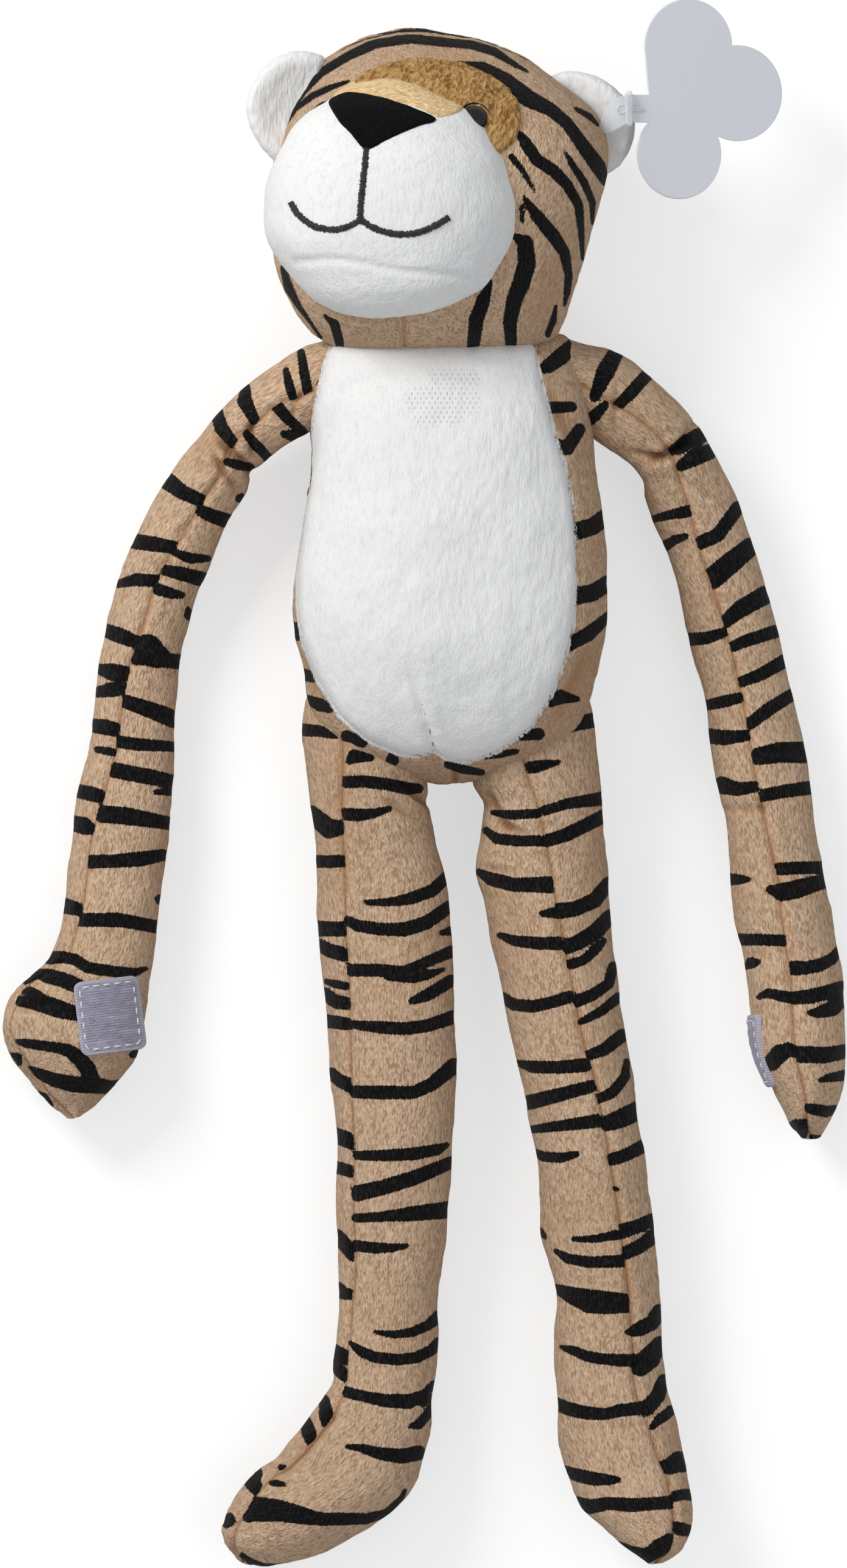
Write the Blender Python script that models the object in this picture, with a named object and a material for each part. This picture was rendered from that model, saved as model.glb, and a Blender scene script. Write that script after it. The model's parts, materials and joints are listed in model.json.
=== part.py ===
"""Plush tiger lying on its back, built as its sewn covers, fillings, face, palm pads, tail and tag.

Metres, +Z out of the belly, +Y towards the head, +X towards the reader's right.
The origin is the middle of the flat patch that the torso rests on.
"""

import math
from dataclasses import dataclass

import bmesh
import bpy
from mathutils import Vector
from mathutils.bvhtree import BVHTree

MM = 0.001

# Fabric, clearances and cuts
PLUSH_WALL = 2.0 * MM
FABRIC_GAP = 0.3 * MM
SEAM_WALL = 1.0 * MM
FLAT_DEPTH = 0.5 * MM
CUT_OVERRUN = 6.0 * MM
SEAT_STEP = 0.05 * MM
SHARP_EDGE_DEG = 50.0

# Torso
TORSO_HALF_WIDTH = 51.3 * MM
TORSO_HALF_DEPTH = 35.0 * MM
TORSO_DROP = 110.0 * MM
NECK_PIVOT_LINE = 38.5 * MM
NECK_DOME_RADIUS = 30.0 * MM
TORSO_POWER = 2.15
DOME_ANGLES_DEG = (24.0, 40.0, 56.0, 73.0)
DOME_BREADTH_SHARES = (1.0, 1.12, 1.36, 1.43)
TORSO_DROP_SHARES = (0.0, 0.17, 0.34, 0.5, 0.64, 0.76, 0.86, 0.94, 1.0)
TORSO_WIDTH_SHARES = (0.86, 0.95, 0.995, 1.0, 0.935, 0.81, 0.64, 0.42, 0.13)
TORSO_DEPTH_SHARES = (0.87, 0.945, 0.985, 1.0, 0.96, 0.86, 0.71, 0.49, 0.16)
TORSO_SIDES = 24

# Belly panel
BELLY_WALL = 1.6 * MM
BELLY_GAP = 0.8 * MM
BELLY_FIRST_SECTION = 1
BELLY_REACH_DEG = (52.0, 66.0, 68.0, 72.0, 76.0, 78.0, 78.0, 72.0, 60.0, 44.0, 26.0)
BELLY_COLUMNS = 12

# Neck seam
NECK_SEAM_REACH_DEG = 27.0
NECK_SEAM_RINGS = 3
NECK_SEAM_SIDES = 14

# Head
HEAD_HALF_WIDTH = 52.0 * MM
HEAD_HALF_LENGTH = 53.5 * MM
HEAD_HALF_DEPTH = 43.0 * MM
HEAD_STAND_OFF = 0.5 * MM
HEAD_LINE = NECK_PIVOT_LINE + NECK_DOME_RADIUS + HEAD_HALF_LENGTH + HEAD_STAND_OFF
HEAD_OFFSET = -1.0 * MM
HEAD_POWER = 2.35
HEAD_COLLAR_REACH_DEG = 16.0
HEAD_SIDES = 20
HEAD_ANGLES_DEG = (32.0, 45.0, 60.0, 75.0, 90.0, 105.0, 120.0, 135.0, 150.0, 165.0)

# Muzzle, sized and placed in shares of the head
MUZZLE_SIZE_SHARES = (0.798, 0.701, 0.814)
MUZZLE_PLACE_SHARES = (-0.327, -0.0467, 1.581)
MUZZLE_HALF_WIDTH = HEAD_HALF_WIDTH * MUZZLE_SIZE_SHARES[0]
MUZZLE_HALF_LENGTH = HEAD_HALF_LENGTH * MUZZLE_SIZE_SHARES[1]
MUZZLE_HALF_DEPTH = HEAD_HALF_DEPTH * MUZZLE_SIZE_SHARES[2]
MUZZLE_OFFSET = HEAD_OFFSET + HEAD_HALF_WIDTH * MUZZLE_PLACE_SHARES[0]
MUZZLE_LINE = HEAD_LINE + HEAD_HALF_LENGTH * MUZZLE_PLACE_SHARES[1]
MUZZLE_HEIGHT = HEAD_HALF_DEPTH * MUZZLE_PLACE_SHARES[2]
MUZZLE_POWER = 2.25
MUZZLE_SIDES = 20
MUZZLE_RINGS = 10

# Face pieces, placed in shares of the muzzle's or the head's half sizes from its centre
NOSE_WALL = 1.8 * MM
NOSE_GAP = 0.8 * MM
NOSE_RINGS = 5
NOSE_OUTLINE_SHARES = (
    (-0.50, 0.79), (-0.42, 0.88), (-0.26, 0.91), (-0.10, 0.88), (0.10, 0.82), (0.30, 0.755),
    (0.35, 0.70), (0.25, 0.63), (0.08, 0.55), (-0.10, 0.465), (-0.21, 0.43), (-0.31, 0.50),
    (-0.40, 0.62), (-0.48, 0.71),
)
BRIDGE_WALL = 1.4 * MM
BRIDGE_LOWER_SHARES = (
    (-0.66, 0.58), (-0.53, 0.61), (-0.40, 0.625), (-0.25, 0.615), (-0.10, 0.58), (0.02, 0.52),
)
BRIDGE_UPPER_SHARES = (
    (-0.68, 0.65), (-0.54, 0.69), (-0.40, 0.71), (-0.24, 0.70), (-0.08, 0.66), (0.07, 0.59),
)
MASK_WALL = 1.6 * MM
MASK_LOWER_SHARES = (
    (-0.55, 0.72), (-0.40, 0.735), (-0.24, 0.725), (-0.08, 0.685), (0.075, 0.61), (0.17, 0.50),
    (0.24, 0.40), (0.32, 0.28),
)
MASK_UPPER_SHARES = (
    (-0.52, 0.755), (-0.38, 0.79), (-0.24, 0.81), (-0.09, 0.805), (0.08, 0.775), (0.27, 0.70),
    (0.43, 0.57), (0.46, 0.36),
)
MASK_ROWS = 4
STRIP_GAP = 0.5 * MM
STRIP_REFINEMENT = 3
EYE_RADIUS = 4.6 * MM
EYE_BULGE = 3.4 * MM
EYE_RIGHT_SHARES = (0.225, 0.535)
EYE_LEFT_LINE_SHARE = 0.5
EYE_LEFT_RAISED_DEG = 4.0
EYE_SIDES = 16
EYE_RINGS = 4
STITCH_RADIUS = 1.1 * MM
STITCH_SIDES = 5
STITCH_STEPS = 9
PHILTRUM_SHARES = ((-0.208, 0.375), (-0.225, 0.17), (-0.24, -0.09))
SMILE_LEFT_SHARES = ((-0.81, 0.03), (-0.66, -0.16), (-0.47, -0.24), (-0.30, -0.17))
SMILE_RIGHT_SHARES = ((-0.18, -0.17), (0.0, -0.29), (0.14, -0.31), (0.30, -0.25), (0.44, -0.14))

# Ears
EAR_WALL = 1.6 * MM
EAR_HALF_WIDTH = 17.5 * MM
EAR_LEFT_HEIGHT = 23.0 * MM
EAR_RIGHT_HEIGHT = 15.5 * MM
EAR_ROOT = 5.0 * MM
EAR_CUP = 4.0 * MM
EAR_LEFT_LEVEL = 60.0 * MM
EAR_RIGHT_LEVEL = 37.0 * MM
EAR_STAND_OFF = 2.4 * MM
EAR_BASE_GAP = 0.7 * MM
EAR_LEFT_HEADING_DEG = 147.0
EAR_RIGHT_HEADING_DEG = 27.0
EAR_TILT_DEG = 12.0
EAR_NARROWING_SHARE = 0.9
EAR_POWER = 2.6
EAR_COLUMNS = 8
EAR_ROWS = 4

# Limbs: joint radii, fullest half sizes, lengths between joints and headings in plan
BALL_ANGLES_DEG = (14.0, 33.0, 52.0, 72.0, 90.0)
LIMB_STATION_SHARES = (0.14, 0.34, 0.56, 0.76, 0.92, 1.0)
LIMB_ROUNDING_SHARES = (1.0, 1.0, 1.0, 1.0, 0.96, 0.82)
PAW_STATION_SHARES = (0.14, 0.32, 0.5, 0.68, 0.82, 0.93, 0.99)
PAW_ROUNDING_START_SHARE = 0.52
LIMB_SIDES = 14
FILLING_SIDES = LIMB_SIDES // 2

SHOULDER_RADIUS = 13.0 * MM
SHOULDER_LINE = 50.0 * MM
SHOULDER_LEVEL = 29.0 * MM
UPPER_ARM_SWELL = 0.6 * MM
ELBOW_RADIUS = 13.2 * MM
FOREARM_SWELL = 0.9 * MM
WRIST_RADIUS = 15.2 * MM
UPPER_ARM_LENGTH = 82.0 * MM
FOREARM_LENGTH = 109.0 * MM
HAND_LENGTH = 62.0 * MM
HAND_HALF_WIDTH = 24.0 * MM
HAND_HALF_THICK = 17.5 * MM
HAND_EDGE_HALF_THICK = 15.8 * MM
ARM_BOW = 4.0 * MM

HIP_RADIUS = 19.0 * MM
HIP_LEFT_OFFSET = -27.5 * MM
HIP_RIGHT_OFFSET = 29.5 * MM
THIGH_SWELL = 1.8 * MM
KNEE_RADIUS = 20.0 * MM
SHIN_SWELL = 0.5 * MM
ANKLE_RADIUS = 17.5 * MM
THIGH_LENGTH = 81.0 * MM
SHIN_LENGTH = 100.0 * MM
LEFT_FOOT_LENGTH = 80.0 * MM
RIGHT_FOOT_LENGTH = 66.0 * MM
RIGHT_FOOT_RISE = 24.0 * MM
FOOT_HALF_WIDTH = 22.0 * MM
FOOT_HALF_THICK = 19.0 * MM
RIGHT_FOOT_HALF_WIDTH = 20.0 * MM
RIGHT_FOOT_HALF_THICK = 21.0 * MM
LEG_BOW = 0.8 * MM

LEFT_ARM_HEADINGS_DEG = (-125.5, -95.5, -104.0)
RIGHT_ARM_HEADINGS_DEG = (-61.0, -80.5, -81.0)
LEFT_LEG_HEADINGS_DEG = (-84.5, -91.0, -124.5)
RIGHT_LEG_HEADINGS_DEG = (-82.0, -83.5, -71.0)

# Seam bands between the torso and the limbs
SHOULDER_SEAM_HALF_HEIGHT = 2.8 * MM
HIP_SEAM_HALF_HEIGHT = 4.0 * MM
SEAM_HALF_REACH_DEG = 38.0
LEFT_SHOULDER_SEAM_DEG = 28.0
RIGHT_SHOULDER_SEAM_DEG = 152.0
HIP_SEAM_DEG = 90.0
SEAM_STEPS = 8

# Palm pads
PAD_HALF_WIDTH = 11.0 * MM
PAD_HALF_LENGTH = 12.4 * MM
PAD_WALL = 1.5 * MM
PAD_GAP = 0.9 * MM
PAD_RINGS = 5
PAD_CORNER_SHARE = 0.3
PAD_CORNER_STEPS = 2
PAD_STITCH_INSET = 2.0 * MM
PAD_STITCH_RADIUS = 0.35 * MM
LEFT_PAD_ALONG = 26.0 * MM
LEFT_PAD_ASIDE = 3.0 * MM
RIGHT_PAD_ALONG = 33.0 * MM
RIGHT_PAD_RAISED = 1.0 * MM
LEFT_PAD_TURN_DEG = 20.0

# Tail
TAIL_RADIUS = 5.5 * MM
TAIL_ROOT_LINE = -61.0 * MM
TAIL_SWEEP = 38.0 * MM
TAIL_FLANK = 42.0 * MM
TAIL_STRAIGHT = 54.0 * MM
TAIL_WALL = 1.5 * MM
TAIL_ARC_STEPS = 6
TAIL_STRAIGHT_STEPS = 4
TAIL_TIP_SHARES = ((0.45, 0.9), (0.8, 0.62), (0.97, 0.25))
TAIL_SIDES = 10
TAIL_HOLLOW_SHARE = 0.5

# Swing tag
TAG_WALL = 1.0 * MM
TAG_TOP_REACH = 17.6 * MM
TAG_TOP_SPREAD = 20.6 * MM
TAG_TOP_RADIUS = 15.6 * MM
TAG_FAR_REACH = 35.1 * MM
TAG_FAR_SPREAD = 5.4 * MM
TAG_FAR_RADIUS = 15.8 * MM
TAG_LOW_REACH = 14.3 * MM
TAG_LOW_SPREAD = -14.6 * MM
TAG_LOW_RADIUS = 15.0 * MM
TAG_FIRST_DEG = -217.0
TAG_LAST_DEG = 190.0
TAG_NECK_HALF_WIDTH = 4.6 * MM
TAG_NECK_ROOT = 3.4 * MM
HALF_TURN_DEG = 180.0
TAG_HOLE_RADIUS = 1.6 * MM
TAG_PIN_RADIUS = 1.3 * MM
TAG_TILT_DEG = 22.0
TAG_STAND_OFF = 11.5 * MM
TAG_LINE_SHARE = 0.514
TAG_OFFSET = HEAD_OFFSET + HEAD_HALF_WIDTH + TAG_STAND_OFF
TAG_LINE = HEAD_LINE + HEAD_HALF_LENGTH * TAG_LINE_SHARE
TAG_LEVEL = 51.0 * MM
TAG_LOBE_STEPS = 12
TAG_BAR_HALF_LENGTH = 5.4 * MM
TAG_BAR_HALF_WIDTH = 1.3 * MM
TAG_BAR_WALL = 1.0 * MM
TAG_TAB_LENGTH = 11.0 * MM
TAG_TAB_DROP = 1.6 * MM

COLOURS = {
    "striped_plush": ((0.55, 0.37, 0.22), 0.95),
    "white_plush": ((0.86, 0.86, 0.86), 0.95),
    "mask_plush": ((0.51, 0.26, 0.07), 0.95),
    "bridge_plush": ((0.73, 0.51, 0.26), 0.95),
    "nose_plush": ((0.01, 0.01, 0.01), 0.9),
    "filling": ((0.8, 0.8, 0.78), 1.0),
    "seam_tape": ((0.5, 0.36, 0.25), 0.9),
    "thread": ((0.02, 0.02, 0.02), 0.5),
    "pad_tape": ((0.40, 0.39, 0.51), 0.8),
    "eye_plastic": ((0.005, 0.005, 0.005), 0.15),
    "card": ((0.51, 0.54, 0.58), 0.6),
    "clear_plastic": ((0.8, 0.82, 0.82), 0.2),
}


def direction(heading_deg):
    """Unit vector in plan at a heading counted from +X."""
    angle = math.radians(heading_deg)
    return Vector((math.cos(angle), math.sin(angle), 0.0))


def rounded(value, power):
    """Cosine or sine value bent towards a superellipse."""
    return math.copysign(abs(value) ** (2.0 / power), value)


def ring(centre, side, up, half_side, half_up, sides, power=2.0):
    """One closed section of a loft."""
    points = []
    for step in range(sides):
        angle = 2.0 * math.pi * step / sides
        across = rounded(math.cos(angle), power) * half_side
        along = rounded(math.sin(angle), power) * half_up
        points.append(centre + side * across + up * along)
    return points


def material(name):
    """Principled finish, one for each object that asks."""
    colour, roughness = COLOURS[name]
    finish = bpy.data.materials.new(name)
    finish.use_nodes = True
    shader = finish.node_tree.nodes["Principled BSDF"]
    shader.inputs["Base Color"].default_value = (*colour, 1.0)
    shader.inputs["Roughness"].default_value = roughness
    return finish


def cut_flat(shape):
    """Cut away what would sink below the floor and close the cut with one face."""
    geometry = shape.verts[:] + shape.edges[:] + shape.faces[:]
    cut = bmesh.ops.bisect_plane(
        shape, geom=geometry, plane_co=(0, 0, 0), plane_no=(0, 0, 1), clear_inner=True
    )
    edges = [item for item in cut["geom_cut"] if isinstance(item, bmesh.types.BMEdge)]
    if edges:
        bmesh.ops.edgeloop_fill(shape, edges=edges)


def piece(name, points, faces, finish, origin=None, lies_flat=False):
    """Make one object of points and faces, with its origin on its joint."""
    place = Vector(origin) if origin is not None else Vector((0, 0, 0))
    shape = bmesh.new()
    corners = [shape.verts.new(point) for point in points]
    for face in faces:
        shape.faces.new([corners[index] for index in face])
    if lies_flat:
        cut_flat(shape)
    bmesh.ops.recalc_face_normals(shape, faces=shape.faces)
    bmesh.ops.translate(shape, verts=shape.verts, vec=-place)
    mesh = bpy.data.meshes.new(name)
    shape.to_mesh(mesh)
    shape.free()
    mesh.shade_smooth()
    mesh.set_sharp_from_angle(angle=math.radians(SHARP_EDGE_DEG))
    mesh.materials.append(material(finish))
    made = bpy.data.objects.new(name, mesh)
    made.location = place
    bpy.context.scene.collection.objects.link(made)
    return made


def band_faces(first, second, sides):
    """Quads between two rings whose points start at these indices."""
    faces = []
    for step in range(sides):
        after = (step + 1) % sides
        faces.append((first + step, first + after, second + after, second + step))
    return faces


def solid_loft(rings):
    """Closed solid through rings, with a face at each end."""
    sides = len(rings[0])
    points = [point for section in rings for point in section]
    faces = [tuple(range(sides - 1, -1, -1))]
    for index in range(len(rings) - 1):
        faces += band_faces(index * sides, (index + 1) * sides, sides)
    faces.append(tuple(range((len(rings) - 1) * sides, len(rings) * sides)))
    return points, faces


def shell_loft(outer, inner):
    """Hollow cover that is open at its first rings and closed at its last ones."""
    return solid_loft(outer[::-1] + inner)


def grid_plate(under, over):
    """Closed plate between two matching grids of points."""
    rows = len(under)
    columns = len(under[0])
    points = [point for row in under for point in row]
    points += [point for row in over for point in row]
    upper = rows * columns
    faces = []
    for row in range(rows - 1):
        for column in range(columns - 1):
            corner = row * columns + column
            quad = (corner, corner + 1, corner + columns + 1, corner + columns)
            faces.append(quad)
            faces.append(tuple(upper + index for index in reversed(quad)))
    rim = [column for column in range(columns)]
    rim += [row * columns + columns - 1 for row in range(1, rows)]
    rim += [(rows - 1) * columns + column for column in range(columns - 2, -1, -1)]
    rim += [row * columns for row in range(rows - 2, 0, -1)]
    for step, index in enumerate(rim):
        after = rim[(step + 1) % len(rim)]
        faces.append((after, index, upper + index, upper + after))
    return points, faces


def surface_of(made):
    """Tree for finding an object's surface in world space."""
    points = [made.location + corner.co for corner in made.data.vertices]
    faces = [tuple(face.vertices) for face in made.data.polygons]
    return BVHTree.FromPolygons(points, faces)


def seated(surface, start, along, clearance):
    """Move a point along a direction until it keeps its clearance to a surface."""
    place = Vector(start)
    while surface.find_nearest(place)[3] < clearance:
        place += along * SEAT_STEP
    return place


@dataclass
class Frame:
    """Flat frame that outlines are drawn in before they are laid on a surface."""

    centre: Vector
    across: Vector
    along: Vector

    @property
    def facing(self):
        """Direction that the laid piece faces."""
        return self.across.cross(self.along).normalized()

    def point(self, across, along):
        """Point of the frame's plane."""
        return self.centre + self.across * across + self.along * along


def landed(surface, point, facing):
    """Where a point falls on a surface, and the surface's normal there."""
    spot, normal, _, _ = surface.ray_cast(point + facing * HEAD_HALF_LENGTH * 2.0, -facing)
    if spot is None:
        spot, normal, _, _ = surface.find_nearest(point)
    if normal.dot(facing) < 0.0:
        normal = -normal
    return spot, normal


def laid_patch(name, surface, frame, outline, wall, finish, origin, gap=FABRIC_GAP, rings=4):
    """Thin patch with an outline, laid on a surface."""
    middle_across = sum(point[0] for point in outline) / len(outline)
    middle_along = sum(point[1] for point in outline) / len(outline)
    count = len(outline)
    under = []
    over = []
    for level in range(rings, 0, -1):
        share = level / rings
        for across, along in outline:
            flat = frame.point(
                middle_across + (across - middle_across) * share,
                middle_along + (along - middle_along) * share,
            )
            spot, normal = landed(surface, flat, frame.facing)
            under.append(spot + normal * gap)
            over.append(spot + normal * (gap + wall))
    spot, normal = landed(surface, frame.point(middle_across, middle_along), frame.facing)
    under.append(spot + normal * gap)
    over.append(spot + normal * (gap + wall))
    upper = len(under)
    faces = band_faces(0, upper, count)
    for level in range(rings - 1):
        for quad in band_faces(level * count, (level + 1) * count, count):
            faces.append(tuple(reversed(quad)))
            faces.append(tuple(upper + index for index in quad))
    last = (rings - 1) * count
    for step in range(count):
        after = (step + 1) % count
        faces.append((last + after, last + step, upper - 1))
        faces.append((upper + last + step, upper + last + after, 2 * upper - 1))
    return piece(name, under + over, faces, finish, origin)


def laid_strip(name, surface, frame, lower, upper, rows, wall, finish, origin):
    """Thin strip between two edges, laid on a surface."""
    under = []
    over = []
    columns = STRIP_REFINEMENT * (len(lower) - 1) + 1
    edges = list(zip(smooth_route(lower, columns), smooth_route(upper, columns)))
    for row in range(rows + 1):
        share = row / rows
        under_row = []
        over_row = []
        for first, second in edges:
            flat = frame.point(
                first[0] + (second[0] - first[0]) * share, first[1] + (second[1] - first[1]) * share
            )
            spot, normal = landed(surface, flat, frame.facing)
            under_row.append(spot + normal * STRIP_GAP)
            over_row.append(spot + normal * (STRIP_GAP + wall))
        under.append(under_row)
        over.append(over_row)
    return piece(name, *grid_plate(under, over), finish, origin)


def smooth_route(knots, steps):
    """Points on a smooth curve through knots in a flat frame."""
    route = []
    last = len(knots) - 1
    for step in range(steps):
        place = last * step / (steps - 1)
        index = min(int(place), last - 1)
        share = place - index
        before = knots[max(index - 1, 0)]
        first = knots[index]
        second = knots[index + 1]
        after = knots[min(index + 2, last)]
        point = []
        for axis in range(2):
            a, b, c, d = before[axis], first[axis], second[axis], after[axis]
            bend = 2.0 * b + (c - a) * share
            bend += (2.0 * a - 5.0 * b + 4.0 * c - d) * share**2
            bend += (3.0 * b - a - 3.0 * c + d) * share**3
            point.append(bend / 2.0)
        route.append(tuple(point))
    return route


def laid_thread(name, surface, frame, route, radius, gap, closed, origin):
    """Raised line of thread along a route on a surface."""
    spots = [landed(surface, frame.point(*point), frame.facing) for point in route]
    centres = [spot + normal * (gap + radius) for spot, normal in spots]
    count = len(centres)
    rings = []
    for index, (spot, normal) in enumerate(spots):
        if closed:
            ahead = centres[(index + 1) % count] - centres[index - 1]
        else:
            ahead = centres[min(index + 1, count - 1)] - centres[max(index - 1, 0)]
        side = ahead.cross(normal).normalized()
        rings.append(ring(centres[index], side, normal, radius, radius, STITCH_SIDES))
    if not closed:
        return piece(name, *solid_loft(rings), "thread", origin)
    points = [point for section in rings for point in section]
    faces = []
    for index in range(count):
        after = (index + 1) % count
        faces += band_faces(index * STITCH_SIDES, after * STITCH_SIDES, STITCH_SIDES)
    return piece(name, points, faces, "thread", origin)


def ball_rings(centre, half_sizes, power, rings, sides):
    """Sections of a swollen ball stacked along Y, from its low end to its high one."""
    sections = []
    for step in range(1, rings):
        angle = math.pi * step / rings
        sections.append(ball_ring(centre, half_sizes, power, angle, sides))
    return sections


def ball_ring(centre, half_sizes, power, angle, sides):
    """Section of a swollen ball at an angle from its low end."""
    half_width, half_length, half_depth = half_sizes
    share = rounded(math.sin(angle), power)
    middle = centre - Vector((0, rounded(math.cos(angle), power) * half_length, 0))
    return ring(
        middle, Vector((1, 0, 0)), Vector((0, 0, 1)),
        half_width * share, half_depth * share, sides, power,
    )


class Torso:
    """Torso cover, its filling and the belly panel."""

    def __init__(self):
        self.level = TORSO_HALF_DEPTH - FLAT_DEPTH
        self.pivot = Vector((0, NECK_PIVOT_LINE, self.level))

    def sections(self):
        """Line, half width and half depth of each section, from the neck down."""
        found = []
        for angle_deg, breadth in zip(DOME_ANGLES_DEG, DOME_BREADTH_SHARES):
            angle = math.radians(angle_deg)
            half_depth = NECK_DOME_RADIUS * math.sin(angle)
            line = NECK_PIVOT_LINE + NECK_DOME_RADIUS * math.cos(angle)
            found.append((line, half_depth * breadth, half_depth))
        for drop, width, depth in zip(TORSO_DROP_SHARES, TORSO_WIDTH_SHARES, TORSO_DEPTH_SHARES):
            line = NECK_PIVOT_LINE - TORSO_DROP * drop
            found.append((line, TORSO_HALF_WIDTH * width, TORSO_HALF_DEPTH * depth))
        return found

    def rings(self, inset, sides):
        """Sections drawn in by an inset, every second one where they line the inside."""
        found = []
        sections = self.sections()
        for line, half_width, half_depth in sections[:: 2 if inset else 1]:
            centre = Vector((0, line, self.level))
            found.append(
                ring(
                    centre, Vector((1, 0, 0)), Vector((0, 0, 1)),
                    half_width - inset, half_depth - inset,
                    sides, TORSO_POWER,
                )
            )
        return found

    def build(self):
        """Make the cover, the filling and the belly panel."""
        outer = self.rings(0.0, TORSO_SIDES)
        inner = self.rings(PLUSH_WALL, TORSO_SIDES)
        cover = piece("torso_cover", *shell_loft(outer, inner[:-1]), "striped_plush", lies_flat=True)
        filled = self.rings(PLUSH_WALL + FABRIC_GAP, TORSO_SIDES // 2)
        piece("torso_filling", *solid_loft(filled[1:-1]), "filling")
        self.build_belly()
        return surface_of(cover)

    def build_belly(self):
        """Make the white panel over the torso's front."""
        sections = self.sections()
        under = []
        over = []
        for index, reach_deg in enumerate(BELLY_REACH_DEG):
            line, half_width, half_depth = sections[index + BELLY_FIRST_SECTION]
            for rows, lift in ((under, BELLY_GAP), (over, BELLY_GAP + BELLY_WALL)):
                row = []
                for column in range(BELLY_COLUMNS + 1):
                    share = 2.0 * column / BELLY_COLUMNS - 1.0
                    angle = math.radians(90.0 - reach_deg * share)
                    across = rounded(math.cos(angle), TORSO_POWER) * (half_width + lift)
                    height = rounded(math.sin(angle), TORSO_POWER) * (half_depth + lift)
                    row.append(Vector((across, line, self.level + height)))
                rows.append(row)
        piece("belly_panel", *grid_plate(under, over), "white_plush")


def build_neck_seam(pivot):
    """Cap of seam allowance that turns on the torso's neck dome."""
    inner_radius = NECK_DOME_RADIUS + FABRIC_GAP
    under = []
    over = []
    for radius, rings in ((inner_radius, under), (inner_radius + SEAM_WALL, over)):
        for step in range(NECK_SEAM_RINGS, 0, -1):
            angle = math.radians(NECK_SEAM_REACH_DEG * step / NECK_SEAM_RINGS)
            centre = pivot + Vector((0, radius * math.cos(angle), 0))
            half = radius * math.sin(angle)
            rings.append(
                ring(centre, Vector((1, 0, 0)), Vector((0, 0, 1)), half, half, NECK_SEAM_SIDES)
            )
    piece("neck_seam", *solid_loft(under[::-1] + over), "seam_tape", pivot)


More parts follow.
